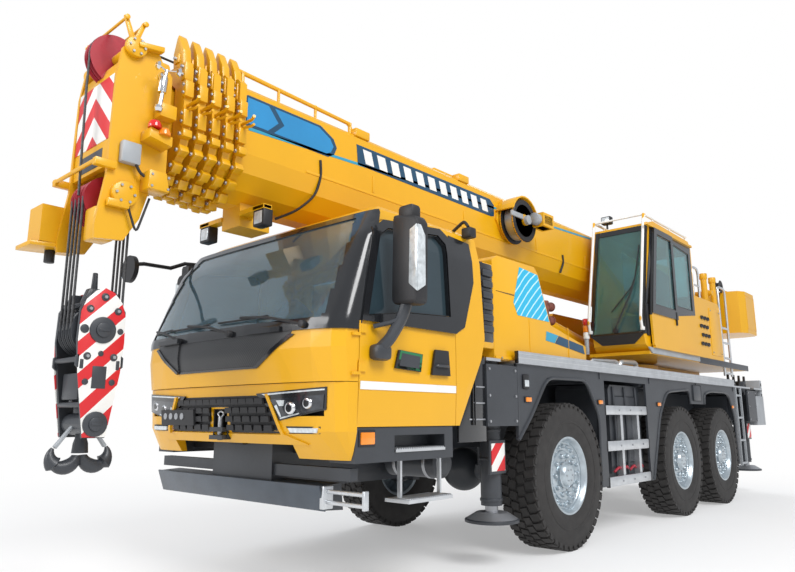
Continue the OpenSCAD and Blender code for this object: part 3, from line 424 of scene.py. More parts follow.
for key, (x, side) in WHEELS.items():
    wheel = Piece(f"road_wheel_{key}", rubber, wheel_silver, steel)
    centre = (x, side * WHEEL_Y, TYRE_R)
    wheel.turned([(RIM_R - 0.02, -0.15), (RIM_R + 0.03, -0.178), (0.44, -0.19), (0.53, -0.1925),
                  (0.6, -0.187), (0.64, -0.178), (0.66, -0.165), (0.667, -0.13), (0.667, 0.13),
                  (0.66, 0.165), (0.64, 0.178), (0.6, 0.187), (0.53, 0.1925), (0.505, 0.190),
                  (0.50, 0.194), (0.49, 0.194), (0.485, 0.189), (0.44, 0.19), (RIM_R + 0.03, 0.178),
                  (RIM_R - 0.02, 0.15)], centre, steps=72, flip=side)
    for across, half, length, phase in TREAD_ROWS:
        for i in range(LUGS):
            a = 2 * pi * (i + phase) / LUGS
            verts = bmesh.ops.create_cube(wheel.bm, size=1.0)["verts"]
            for v in verts:
                if v.co.z > 0:
                    v.co.x, v.co.y = v.co.x * 0.86, v.co.y * 0.92
            shape = Matrix.Diagonal((length, half * 2, 0.026, 1))
            skew = Matrix.Rotation(0.22 if across > 0 else -0.22, 4, "Z")
            seat = Matrix.Translation((0, across, 0.667))
            wheel.mark(verts, Matrix.Translation(centre) @ Matrix.Rotation(a, 4, "Y") @ seat @ skew @ shape)
    for across in (-0.181, 0.181):
        for i in range(LUGS):
            a = 2 * pi * (i + 0.25) / LUGS
            verts = bmesh.ops.create_cube(wheel.bm, size=1.0)["verts"]
            shape = Matrix.Diagonal((0.055, 0.014, 0.05, 1))
            seat = Matrix.Translation((0, across * 0.985, 0.645))
            tip = Matrix.Rotation(-0.2 if across > 0 else 0.2, 4, "X")
            wheel.mark(verts, Matrix.Translation(centre) @ Matrix.Rotation(a, 4, "Y") @ seat @ tip @ shape)
    wheel.use(wheel_silver)
    wheel.turned([(RIM_R - 0.03, -0.15), (RIM_R + 0.012, -0.165), (RIM_R + 0.02, -0.155),
                  (RIM_R - 0.028, -0.13), (RIM_R - 0.05, 0.0), (RIM_R - 0.03, 0.13), (RIM_R + 0.02, 0.16),
                  (RIM_R + 0.014, 0.172), (RIM_R - 0.003, 0.172), (RIM_R - 0.02, 0.155),
                  (RIM_R - 0.028, 0.125), (RIM_R - 0.04, 0.112), (0.232, 0.098), (0.226, 0.112),
                  (0.215, 0.116), (0.155, 0.116), (0.15, 0.11), (0.0, 0.11)], centre, steps=64, flip=side)
    wheel.turned([(0.125, 0.105), (0.123, 0.135), (0.11, 0.142), (0.10, 0.165), (0.09, 0.173),
                  (0.0, 0.176)], centre, steps=40, flip=side)
    out = (0, side, 0)
    for u, v in ring_points(20, NUT_RING_R):
        place = Vector((x + u, centre[1] + side * 0.10, TYRE_R + v))
        wheel.rod(place, place + Vector(out) * 0.034, 0.024, 0.013, sides=12, bevel=0.006)
    for u, v in ring_points(10, HUB_RING_R):
        place = Vector((x + u, centre[1] + side * 0.114, TYRE_R + v))
        wheel.rod(place, place + Vector(out) * 0.032, 0.028, 0.016, sides=12, bevel=0.006)
    wheel.use(steel)
    hub_bolts = ring_points(10, NUT_RING_R * 0.49, 0.5)
    wheel.bolts([(x + u, centre[1] + side * 0.134, TYRE_R + v) for u, v in hub_bolts], out, 0.008, 0.01)
    wheel.bolts([(x + u, centre[1] + side * 0.17, TYRE_R + v) for u, v in ring_points(6, 0.055)], out,
                0.008, 0.01)
    wheel.done(f"wheel_{key}", f"wheel_{key}")

# %% [markdown]
# The carrier cab: a pressed steel cab with a bowed front. Its fittings follow the same bow,
# so lamps, trims and glass are sheets bent over the cab's own levels, a few millimetres
# proud of the panel, as bonded and clipped parts are.
# %% Surface of the cab
CAB_LEVELS = [  # height, front at the middle, front at the sides, half width
    (0.945, 4.43, 4.34, 1.225), (1.13, 4.56, 4.372, 1.262), (1.45, 4.595, 4.372, 1.268),
    (1.68, 4.662, 4.375, 1.27), (1.86, 4.65, 4.37, 1.268), (2.5, 4.30, 4.225, 1.235),
    (2.72, 4.13, 4.08, 1.19), (2.8, 3.99, 3.96, 1.06)]
CAB_BOW = [(0.0, 0.98), (0.3, 0.98), (0.6, 0.9), (0.82, 0.75), (0.93, 0.55), (0.985, 0.3), (1.0, 0.0)]


def between(table, key):
    """The row of a table at a key, drawn in a straight line between the rows around it."""
    key = min(max(key, table[0][0]), table[-1][0])
    for low, high in zip(table, table[1:]):
        if key <= high[0]:
            t = (key - low[0]) / (high[0] - low[0])
            return [a + (b - a) * t for a, b in zip(low[1:], high[1:])]


def cab_shell(levels, rear):
    """The closed form over a set of levels, to lay fittings on."""
    bm = bmesh.new()
    for z, front, side, half in levels:
        for share, bow in CAB_BOW:
            for s in (1, -1):
                bm.verts.new((side + (front - side) * bow, s * half * share, z))
                bm.verts.new((rear, s * half, z))
    bmesh.ops.convex_hull(bm, input=bm.verts[:])
    return BVHTree.FromBMesh(bm)


BUMPER_SHELL = cab_shell(CAB_LEVELS[:3], 4.05)
CAB_SHELL = cab_shell([(1.16, 4.555, 4.37, 1.255)] + CAB_LEVELS[2:], 2.9)


def cab_front(y, z, out=0.0):
    """Point of the cab's front at a place across and a height, out from the surface."""
    shell = BUMPER_SHELL if z < 1.45 else CAB_SHELL
    half = between(CAB_LEVELS, z)[2] * 0.998
    place, normal, _, _ = shell.ray_cast(Vector((6, min(max(y, -half), half), z)), Vector((-1, 0, 0)))
    return place + normal * out


def cab_around(angle, z, out=0.0):
    """Point of the cab's wall seen from its middle, at an angle to the left of straight ahead."""
    way = Vector((cos(radians(angle)), sin(radians(angle)), 0))
    place, normal, _, _ = CAB_SHELL.ray_cast(Vector((3.4, 0, z)) + way * 3, -way)
    return place + normal * out


def bent_sheet(piece, corners, across=12, up=6, out=0.004, thick=0.01, surface=cab_front, keep=None):
    """A sheet between four corners, laid on a surface; keep says which cells stay."""
    bm = piece.bm
    verts = bmesh.ops.create_grid(bm, x_segments=across, y_segments=up, size=0.5)["verts"]
    a, b, c, d = [Vector(p) for p in corners]
    for v in verts:
        u, w = v.co.x + 0.5, v.co.y + 0.5
        p = a.lerp(b, u).lerp(d.lerp(c, u), w)
        v.co = surface(p.x, p.y, out)
        v.normal = (u, w, 0)
    faces = list({f for v in verts for f in v.link_faces})
    if keep:
        gone = [f for f in faces if not keep(sum(v.normal.x for v in f.verts) / 4,
                                             sum(v.normal.y for v in f.verts) / 4)]
        faces = [f for f in faces if f not in gone]
        bmesh.ops.delete(bm, geom=gone, context="FACES")
    for f in faces:
        f.material_index = piece.slot
        f.normal_update()
    bmesh.ops.solidify(bm, geom=faces, thickness=thick)
    for f in faces:
        f.material_index = piece.slot


def inset(outline, step):
    """The outline with each corner drawn a step towards its middle."""
    middle = Vector((sum(p[0] for p in outline), sum(p[1] for p in outline))) / len(outline)
    return [tuple(Vector(p) + (middle - Vector(p)).normalized() * step) for p in outline]


def window_frame(piece, outer, inner, surface, out=0.004, thick=0.01, across=2, up=2):
    """A flat frame between two outlines with as many corners."""
    for i in range(len(outer)):
        j = (i + 1) % len(outer)
        bent_sheet(piece, [outer[i], outer[j], inner[j], inner[i]], across, up, out, thick, surface)


def window_lining(piece, outline, surface, front, depth):
    """A thin black seal all round the edge of an opening, from its front to a depth."""
    for a, b in zip(outline, outline[1:] + outline[:1]):
        along = lambda u, v, out, a=Vector(a), b=Vector(b): surface(*a.lerp(b, u), front - v * depth)
        bent_sheet(piece, [(0, 0), (1, 0), (1, 1), (0, 1)], 10, 1, 0, 0.004, along)


# %% [markdown]
# The windscreen is one large curved sheet, bonded into a black surround. Three wipers park
# along its foot. The glass is a thin sheet on the cab's own surface, so it follows the curve.
# %% Windscreen with its black surround, wipers and rear window
tinted = bpy.data.materials.new("tinted_glass")
tinted.use_nodes = True
tint_noise = add_node(tinted, "TexNoise", Scale=1.1, Vector=add_node(tinted, "TexCoord").outputs["Object"])
tint_ramp = add_node(tinted, "ValToRGB", Fac=tint_noise.outputs["Fac"])
tint_ramp.color_ramp.elements[0].color = (0.20, 0.33, 0.42, 1)
tint_ramp.color_ramp.elements[1].color = (0.42, 0.60, 0.68, 1)
set_inputs(tinted, tinted.node_tree.nodes["Principled BSDF"], Base_Color=tint_ramp.outputs["Color"],
           Roughness=0.02, Transmission_Weight=0.86, IOR=1.12, Coat_Weight=1.0, Coat_Roughness=0.02)
trim_black = finish("trim_black", (0.010, 0.011, 0.013), 0.18, coat=0.5, tone=0.2, spots=3)
# The ribs of the rib panels are not modelled: stripes of two blacks across a flat sheet are painted light
# and shade of the ribs.
rib_shade_stripes = striped("rib_shade_stripes", (0.012, 0.013, 0.015), (0.045, 0.047, 0.05), (0, 1, -1), 0.016, rough=0.35)

lamp_dark = finish("lamp_dark", (0.05, 0.055, 0.065), 0.12, metal=0.6, coat=0.8, tone=0.35, spots=30)

screen = Piece("windscreen", tinted, trim_black, black_plastic)
screen.use(trim_black)
edge_out = lambda u, w: not (abs(u - 0.5) < 0.408 + 0.042 * w and 0.07 < w < 0.955)
bent_sheet(screen, [(-53, 1.80), (53, 1.80), (60, 2.715), (-60, 2.715)], 120, 36, 0.011, 0.016, cab_around,
           edge_out)
screen.use(tinted)
bent_sheet(screen, [(-44.3, 1.85), (44.3, 1.85), (54.8, 2.68), (-54.8, 2.68)], 40, 14, 0.001, 0.006,
           cab_around)
screen.box((2.905, 2.915), (-0.9, 0.9), (2.05, 2.6), bevel=0.003)
screen.use(black_plastic)
for pivot, tip in (((0.98, 1.835), (0.30, 1.93)), ((0.22, 1.825), (-0.42, 1.93)),
                   ((-0.5, 1.825), (-1.02, 1.94))):
    a, b = cab_front(*pivot, out=0.012), cab_front(*tip, out=0.03)
    mid = cab_front((pivot[0] + tip[0]) / 2, (pivot[1] + tip[1]) / 2 + 0.01, out=0.045)
    screen.tube([a, mid, b], 0.010, bend=0.1)
    screen.rod(cab_front(*pivot, out=-0.004), cab_front(*pivot, out=0.045), 0.026, bevel=0.004)
    blade = [cab_front(tip[0] + d, tip[1] - 0.012 + abs(d) * 0.02, out=0.016)
             for d in (-0.3, -0.1, 0.1, 0.3)]
    screen.tube(blade, 0.008, bend=0.1, sides=6)
screen.done("carrier", "cab_glass")

# %% [markdown]
# Under the windscreen the real cab has a panel with ribs, a grille for cabin air and two lamp
# units. Their plates are pressed sheet, so each is a thin sheet laid on the cab's front; the
# ribs are not shaped, but painted on their sheet as stripes of light and shade.
# %% Cab front: ribbed panel, grille, headlamps, bare plates
face = Piece("cab_front_fittings", black_plastic, rib_shade_stripes, paint_yellow, lamp_glass, chrome, trim_black,
             steel, lamp_dark)


def face_sheet(side, corners, across, up, out, thick):
    """A sheet on one side of the cab's front; the corners are given for the left."""
    bent_sheet(face, [(side * y, z) for y, z in corners], across, up, out, thick)


# the panel with ribs under the windscreen: a flat sheet, its ribs painted as stripes of light and shade
face.use(rib_shade_stripes)
bent_sheet(face, [(-0.5, 1.575), (0.5, 1.575), (0.5, 1.81), (-0.5, 1.81)], 16, 6, 0.004, 0.012)
for s in (1, -1):
    face_sheet(s, [(0.5, 1.575), (0.86, 1.78), (0.88, 1.81), (0.5, 1.81)], 6, 6, 0.004, 0.012)
face.use(trim_black)
bent_sheet(face, [(-0.52, 1.562), (0.52, 1.562), (0.5, 1.578), (-0.5, 1.578)], 16, 1, 0.010, 0.016)
for s in (1, -1):
    face_sheet(s, [(0.52, 1.562), (0.90, 1.775), (0.86, 1.785), (0.5, 1.578)], 6, 1, 0.010, 0.016)
    face_sheet(s, [(0.45, 1.80), (0.78, 1.80), (0.78, 1.835), (0.45, 1.835)], 3, 1, 0.03, 0.03)
face.use(black_plastic)
tow_gap = lambda u, w: not (abs(u - 0.5) < 0.09 and w < 0.68)
bent_sheet(face, [(-0.70, 1.115), (0.70, 1.115), (0.56, 1.375), (-0.56, 1.375)], 30, 10, 0.003, 0.012,
           keep=tow_gap)
for row in range(4):
    z = 1.145 + row * 0.062
    wide = 0.655 - row * 0.033
    for i in range(12):
        y = -wide + (i + 0.5) * 2 * wide / 12
        if abs(y) > 0.13 or z > 1.29:
            bent_sheet(face, [(y - 0.046, z - 0.014), (y + 0.046, z - 0.014), (y + 0.04, z + 0.026),
                              (y - 0.04, z + 0.026)], 1, 1, 0.030, 0.018)
for s in (1, -1):
    face.use(trim_black)
    face_sheet(s, [(0.70, 1.20), (1.12, 1.27), (1.13, 1.42), (0.46, 1.387)], 10, 4, 0.006, 0.012)
    face.use(lamp_dark)
    face_sheet(s, [(0.72, 1.215), (1.10, 1.28), (1.11, 1.37), (0.62, 1.345)], 8, 3, 0.012, 0.008)
    face.use(lamp_glass)
    face_sheet(s, [(0.56, 1.374), (1.115, 1.398), (1.115, 1.408), (0.53, 1.384)], 8, 1, 0.014, 0.008)
    face_sheet(s, [(0.72, 1.212), (0.90, 1.245), (0.90, 1.253), (0.72, 1.222)], 4, 1, 0.017, 0.008)
    face_sheet(s, [(0.665, 1.30), (0.72, 1.225), (0.732, 1.228), (0.69, 1.31)], 2, 2, 0.017, 0.008)
    face_sheet(s, [(0.69, 1.338), (0.77, 1.34), (0.76, 1.30), (0.72, 1.30)], 2, 2, 0.015, 0.006)
    face.use(chrome)
    for y, z, r in ((0.98, 1.315, 0.042), (0.82, 1.285, 0.048)):
        at = cab_front(s * y, z, 0.006)
        way = (cab_front(s * y, z, 0.03) - at).normalized()
        face.rod(at, at + way * 0.022, r, r * 0.8, sides=28, bevel=0.004)
        face.use(trim_black)
        face.rod(at + way * 0.018, at + way * 0.026, r * 0.55, sides=24)
        face.use(chrome)
    face.use(lamp_glass)
    face_sheet(s, [(0.80, 1.125), (1.04, 1.125), (1.05, 1.152), (0.78, 1.152)], 4, 1, 0.008, 0.012)
    face.use(black_plastic)
    face_sheet(s, [(0.78, 1.115), (1.06, 1.115), (1.07, 1.162), (0.76, 1.162)], 4, 1, 0.002, 0.006)
face.use(black_plastic)
face.box((4.37, 4.42), (-0.094, 0.094), (1.02, 1.284), 0.004)
for s in (1, -1):
    face.box((4.37, 4.56), about(s * 0.092, 0.004), (1.065, 1.284), 0.002)
face.box((4.37, 4.56), (-0.094, 0.094), (1.276, 1.284), 0.002)
face.use(steel)
face.rod((4.56, 0, 1.085), (4.56, 0, 1.225), 0.02, bevel=0.004)
face.tube([(4.56, 0.0, 1.215), (4.56, 0.045, 1.25), (4.56, 0.0, 1.27), (4.56, -0.045, 1.25),
           (4.56, 0.0, 1.215)], 0.007, 0.02, 8)
face.use(paint_yellow)
bent_sheet(face, [(-0.93, 1.045), (0.93, 1.045), (0.74, 1.112), (-0.74, 1.112)], 40, 4, 0.012, 0.03)
for s in (1, -1):
    face_sheet(s, [(0.71, 1.11), (0.74, 1.11), (0.595, 1.385), (0.565, 1.385)], 2, 8, 0.016, 0.022)
face.use(black_plastic)
plate = [(-0.82, 1.165), (-0.30, 1.165), (-0.30, 1.285), (-0.82, 1.285)]
bent_sheet(face, plate, 6, 2, 0.045, 0.02)
face.use(steel)
for i in range(4):
    at = cab_front(-0.74 + i * 0.09, 1.235, 0.044)
    face.rod(at, at + Vector((0.006, 0, 0)), 0.026, sides=20)
face.done("carrier")

# %% [markdown]
# The doors carry the handles, window frames and mirrors. Their pieces belong to the door's own
# body, so they swing with it. The right side repeats the left one, flipped over.
# %% Door and side fittings of the cab
def cab_side(x, z, out=0.0):
    """Point of the cab's left wall at a place along and a height, out from the surface."""
    place, normal, _, _ = CAB_SHELL.ray_cast(Vector((x, 3, z)), Vector((0, -1, 0)))
    return place + normal * out


badge_green = finish("badge_green", (0.01, 0.16, 0.055), 0.3, coat=0.4, tone=0.1)
DOOR_GLASS = [(4.29, 1.90), (4.15, 2.50), (4.05, 2.57), (3.45, 2.64), (3.37, 2.58), (3.37, 1.99),
              (3.90, 1.96)]
DOOR_FRAME = [(4.352, 1.862), (4.205, 2.545), (4.088, 2.628), (3.41, 2.705), (3.302, 2.64), (3.302, 1.862),
              (3.90, 1.862)]
for name, mirrored in (("left", False), ("right", True)):
    door = Piece(f"door_fittings_{name}", trim_black, white_paint, black_plastic, paint_dark, badge_green)
    window_frame(door, DOOR_FRAME, DOOR_GLASS, cab_side, 0.009, 0.016, 14, 4)
    window_lining(door, inset(DOOR_GLASS, 0.008), cab_side, 0.016, 0.050)
    door.use(white_paint)
    bent_sheet(door, [(3.30, 1.405), (4.345, 1.405), (4.345, 1.46), (3.30, 1.46)], 8, 1, 0.002, 0.003,
               cab_side)
    door.use(black_plastic)
    bent_sheet(door, [(3.40, 1.53), (3.62, 1.53), (3.58, 1.72), (3.42, 1.72)], 2, 2, 0.012, 0.016, cab_side)
    bent_sheet(door, [(3.74, 1.545), (4.02, 1.56), (3.98, 1.69), (3.72, 1.675)], 2, 2, 0.008, 0.012,
               cab_side)
    door.use(badge_green)
    bent_sheet(door, [(3.74, 1.55), (4.00, 1.562), (3.965, 1.688), (3.725, 1.672)], 4, 4, 0.012, 0.008,
               cab_side)
    door.use(paint_dark)
    bent_sheet(door, [(3.762, 1.568), (3.978, 1.58), (3.948, 1.67), (3.748, 1.656)], 4, 4, 0.015, 0.006,
               cab_side)
    door.tube([cab_side(3.43, 1.60, 0.012), cab_side(3.44, 1.60, 0.04), cab_side(3.57, 1.60, 0.04),
               cab_side(3.58, 1.60, 0.012)], 0.012, bend=0.02)
    if mirrored:
        door.flip()
    door.done(f"cab_door_{name}")

    head = Piece(f"mirror_head_{name}", black_plastic, chrome, paint_dark, lamp_glass)
    head.slab([(1.33, 2.02), (1.35, 1.99), (1.54, 1.975), (1.565, 2.0), (1.575, 2.55), (1.55, 2.60),
               (1.36, 2.64), (1.34, 2.62)], "x", (3.985, 4.115), bevel=0.024)
    head.box((3.995, 4.105), (1.38, 1.52), (2.58, 2.70), bevel=0.03)
    head.use(chrome)
    head.box((3.978, 3.988), (1.36, 1.545), (2.20, 2.58), bevel=0.004)
    head.box((3.978, 3.988), (1.36, 1.545), (2.02, 2.17), bevel=0.004)
    head.use(lamp_glass)
    head.slab([(4.113, 2.06), (4.113, 2.50), (4.108, 2.53), (4.075, 2.53), (4.03, 2.46), (4.03, 2.11)], "y",
              (1.568, 1.578), bevel=0.002)
    head.slab([(1.572, 2.06), (1.572, 2.53), (1.51, 2.50), (1.50, 2.12)], "x", (4.113, 4.120), bevel=0.002)
    head.use(paint_dark)
    head.tube([(4.05, 1.43, 2.03), (4.08, 1.41, 1.90), (4.16, 1.36, 1.74), (4.20, 1.31, 1.68)], 0.042,
              bend=0.08)
    head.box((4.12, 4.27), (1.262, 1.36), (1.60, 1.71), bevel=0.03)
    head.tube([(4.06, 1.43, 2.0), (4.12, 1.40, 1.87), (4.24, 1.285, 1.83)], 0.016, bend=0.05)
    if mirrored:
        head.flip()
    head.done(f"cab_door_{name}", f"mirror_{name}")

side_trim = Piece("cab_side_fittings", trim_black, amber, black_plastic, paint_yellow)
bent_sheet(side_trim, [(3.285, 1.87), (3.17, 1.93), (3.01, 2.32), (3.285, 2.32)], 6, 12, 0.009, 0.014,
           cab_side)
bent_sheet(side_trim, [(3.285, 2.32), (3.01, 2.32), (3.01, 2.66), (3.285, 2.68)], 6, 12, 0.009, 0.014,
           cab_side)
side_trim.use(amber)
side_trim.box((4.19, 4.32), (1.235, 1.262), (1.045, 1.125), bevel=0.006)
side_trim.use(black_plastic)
side_trim.box((4.175, 4.335), (1.225, 1.252), (1.03, 1.14), bevel=0.006)
side_trim.use(trim_black)
for x in (3.02, 3.05):
    side_trim.box((x, x + 0.012), (1.245, 1.26), (1.16, 1.6), bevel=0.003)
side_trim.mirror()
side_trim.use(amber)
side_trim.turned([(0.0, 0.0), (0.055, 0.0), (0.055, 0.015), (0.048, 0.02), (0.046, 0.045), (0.03, 0.054),
                  (0.0, 0.057)], (3.46, 0.8, 2.80), axis="z", steps=28)
side_trim.use(paint_yellow)
side_trim.slab([(3.25, 0.35), (3.62, 0.35), (3.62, 0.95), (3.25, 0.95)], "z", (2.795, 2.815), bevel=0.008)
side_trim.use(black_plastic)
side_trim.tube([(3.05, 1.08, 2.79), (3.05, 1.2, 2.86), (3.05, 1.24, 2.80)], 0.014)
side_trim.box((3.0, 3.09), (1.19, 1.29), (2.70, 2.79), bevel=0.015)
side_trim.done("carrier")

# %% [markdown]
# The boom: six box sections with a rounded belly. Each section ends in a thick collar that
# carries wear pads, bolts and tall rope-guide fins; rows of pad blocks follow the belly.
# Coloured bands run along the side wall, left bare of any lettering.
# %% Collars
BOOM_BODIES = ["boom_base", "boom_2", "boom_3", "boom_4", "boom_5"]
HALF_W, WELD_Z, BELLY_Z, STEP, COLLAR_X, PITCH = 0.36, 3.2, 2.865, 0.032, 4.79, 0.11


def collar_edge(n, angle, out):
    """Point on the belly of collar n, at an angle down from the weld line."""
    grown = 0.028 + 0.024 * n + out
    half, low = HALF_W - STEP * n + grown, BELLY_Z + STEP * n - grown
    return half * cos(angle), WELD_Z - (WELD_Z - low) * sin(angle)


for n, body in enumerate(BOOM_BODIES):
    collar = Piece(f"collar_fittings_{n + 1}", paint_yellow, steel)
    x1 = COLLAR_X + PITCH * n
    x0, xm = x1 - 0.056, x1 - 0.03
    for degrees in (4, 24, 44, 64, 84):
        y, z = collar_edge(n, radians(degrees), 0.012)
        collar.box((x0, x1 + 0.014), about(y, 0.028), about(z, 0.035), 0.006, (radians(degrees - 90), 0, 0))
        y, z = collar_edge(n, radians(degrees), 0.0)
        collar.use(steel)
        collar.bolts([(x1 + 0.012, y, z)], (1, 0, 0), 0.015, 0.016)
        collar.use(paint_yellow)
    half = HALF_W - STEP * n + 0.03 + 0.024 * n
    for z in (3.30, 3.52):
        collar.box((x0, x1 + 0.012), (half - 0.02, half + 0.03), about(z, 0.06), 0.006)
        collar.use(steel)
        collar.bolts([(x1 + 0.01, half + 0.005, z - 0.03), (x1 + 0.01, half + 0.005, z + 0.03)], (1, 0, 0),
                     0.012, 0.014)
        collar.use(paint_yellow)
    collar.slab([(0.175, 3.745), (0.165, 3.86), (0.205, 3.975), (0.225, 4.0), (0.245, 3.975), (0.305, 3.86),
                 (0.325, 3.71)], "x", (x0 - 0.004, x1 + 0.004), 0.006)
    collar.box((x0 - 0.01, x1 + 0.018), (0.20, 0.27), (3.76, 3.83), 0.008)
    collar.box((x0, x1 + 0.01), (0.30, 0.36), (3.60, 3.74), 0.008)
    collar.use(steel)
    collar.bolts([(x1 + 0.015, 0.235, 3.795), (x1 + 0.008, 0.33, 3.64), (x1 + 0.008, 0.33, 3.70)],
                 (1, 0, 0), 0.014, 0.02)
    collar.mirror()
    collar.use(paint_yellow)
    collar.tube([(xm, half, 3.40), (xm, half + 0.13, 3.40), (xm + 0.02, half + 0.18, 3.405)], 0.012, 0.03)
    collar.tube([(xm, half, 3.37), (xm, half + 0.11, 3.35), (xm + 0.02, half + 0.18, 3.34)], 0.010, 0.03)
    collar.done(body)

# %% [markdown]
# The base section is painted yellow with blue bands. It carries a rail for the crew, a
# conduit, two work lamps, and the reel that feeds the cable to the boom head.
# %% Bands, rail and small fittings of the base section
band_bright = finish("band_bright", (0.015, 0.23, 0.50), 0.35, coat=0.4, tone=0.08, spots=2)
base = Piece("boom_bands", band_cyan, band_blue, band_bright, white_paint, paint_yellow, black_plastic,
             steel, lamp_glass, paint_grey)
WALL, INLAY = (0.3600, 0.3625), (0.362, 0.3635)
base.slab([(4.68, 3.39), (4.68, 3.415), (-1.12, 3.705), (-1.12, 3.68)], "y", WALL, 0)
base.use(band_blue)
base.slab([(4.72, 3.43), (4.72, 3.66), (4.70, 3.675), (3.95, 3.675), (3.80, 3.60), (3.76, 3.53),
           (3.79, 3.46), (3.86, 3.42), (4.70, 3.42)], "y", WALL, 0)
base.slab([(3.50, 3.455), (3.52, 3.645), (1.40, 3.655), (1.32, 3.60), (1.32, 3.47), (1.38, 3.455)], "y",
          WALL, 0)
base.use(band_bright)
base.slab([(4.70, 3.445), (4.70, 3.655), (4.50, 3.655), (4.40, 3.54), (4.50, 3.445)], "y", INLAY, 0)
base.slab([(4.44, 3.445), (4.34, 3.54), (4.44, 3.655), (3.97, 3.655), (3.84, 3.59), (3.80, 3.53),
           (3.83, 3.47), (3.88, 3.445)], "y", INLAY, 0)
base.use(white_paint)
for i in range(11):
    x = 3.40 - i * 0.185
    base.slab([(x, 3.49), (x + 0.04, 3.62), (x - 0.07, 3.62), (x - 0.11, 3.49)], "y", INLAY, 0)
base.mirror()
base.use(paint_yellow)
base.tube([(4.76, 0.27, 3.90), (3.55, 0.30, 3.845), (3.52, 0.30, 3.74)], 0.017, 0.05)
for x in (4.35, 3.95):
    base.rod((x, 0.285, 3.745), (x, 0.285, 3.885), 0.013)
for x in (3.45, 1.9):
    base.box(about(x, 0.09), (0.27, 0.375), (3.72, 3.80), 0.01)
base.slab([(2.30, 3.735), (2.30, 3.80), (1.90, 3.80), (1.90, 3.735)], "y", (0.22, 0.28), 0.01)
base.slab([(-3.3, 3.21), (4.1, 3.21), (4.1, 3.235), (-3.3, 3.235)], "y", (0.356, 0.366), 0.003)
for x in (3.3, 1.9, 0.4, -0.9):
    base.box(about(x, 0.012), (0.355, 0.366), (3.24, 3.40), 0.003)
base.use(black_plastic)
base.tube([(3.95, 0.368, 3.36), (3.94, 0.37, 3.22), (3.98, 0.345, 3.04), (4.10, 0.25, 2.90),
           (4.2, 0.10, 2.84)], 0.011, 0.08)
base.tube([(-0.25, 0.368, 3.30), (-0.26, 0.372, 3.2), (-0.20, 0.35, 3.06)], 0.013, 0.05)
base.use(paint_yellow)
for s in (1, -1):
    base.tube([(4.45, s * 0.10, 2.78), (4.52, s * 0.25, 2.80), (4.53, s * 0.37, 2.79)], 0.018, 0.05)
    base.box((4.49, 4.57), about(s * 0.37, 0.07), (2.78, 2.815), 0.006)
    base.use(black_plastic)
    base.box((4.474, 4.566), about(s * 0.37, 0.068), (2.650, 2.787), 0.012)
    base.use(lamp_glass)
    base.box((4.555, 4.568), about(s * 0.37, 0.05), (2.668, 2.768), 0.006)
    base.use(paint_yellow)
# cable reel with its hood and motor
REEL = (1.02, 0.50, 3.44)
base.use(black_plastic)
base.turned([(0.05, -0.10), (0.245, -0.10), (0.25, -0.09), (0.25, -0.075), (0.16, -0.07), (0.16, 0.04),
             (0.24, 0.05), (0.25, 0.06), (0.25, 0.075), (0.24, 0.085), (0.19, 0.075), (0.05, 0.075)], REEL)
base.use(steel)
base.turned([(0.165, -0.065), (0.21, -0.06), (0.21, 0.035), (0.165, 0.04)], REEL)
base.use(paint_grey)
base.box((0.60, 0.84), (0.56, 0.72), (3.40, 3.56), 0.03)
base.box((0.80, 1.32), (0.575, 0.60), (3.44, 3.50), 0.008)
base.rod((1.02, 0.36, 3.44), (1.02, 0.64, 3.44), 0.055, sides=24, bevel=0.006)
base.rod((0.84, 0.64, 3.48), (0.92, 0.64, 3.48), 0.07, sides=20, bevel=0.01)
base.use(paint_yellow)
hood = [(REEL[0] + r * cos(radians(a)), REEL[2] + r * sin(radians(a)))
        for r, sweep in ((0.29, range(20, 161, 14)), (0.27, range(160, 19, -14))) for a in sweep]
base.slab(hood, "y", (0.36, 0.60), 0.003)
base.slab([(1.31, 3.44), (1.25, 3.60), (0.79, 3.60), (0.73, 3.44), (0.88, 3.24), (1.16, 3.24)], "y",
          (0.358, 0.385), 0.004)
base.done("boom_base")

# %% [markdown]
# The boom head: two thick cheek plates hold the rope sheaves at top and bottom. A striped
# warning board closes its front; a wind gauge, lamps and a junction box sit on the left cheek.
# %% Boom head fittings
SHEAVE_X = 5.59
warning_left = striped("warning_left", (0.80, 0.79, 0.76), (0.62, 0.015, 0.02), (0, 1, 1), 0.20)
warning_right = striped("warning_right", (0.80, 0.79, 0.76), (0.62, 0.015, 0.02), (0, -1, 1), 0.20)
head = Piece("boom_head_fittings", paint_yellow, warning_left, warning_right, black_plastic, paint_grey,
             chrome, red_lens, amber, steel, paint_dark)
head.slab([(5.645, 2.84), (5.69, 2.84), (5.69, 3.50), (5.66, 3.60), (5.645, 3.60)], "y", (-0.265, 0.265),
          0.004)
head.use(warning_left)
head.box((5.690, 5.695), (0.001, 0.262), (3.03, 3.49), 0.001)
head.use(warning_right)
head.box((5.690, 5.695), (-0.262, -0.001), (3.03, 3.49), 0.001)
head.use(paint_dark)
head.box((5.688, 5.693), (-0.17, 0.17), (2.865, 2.985), 0.002)
head.use(paint_yellow)
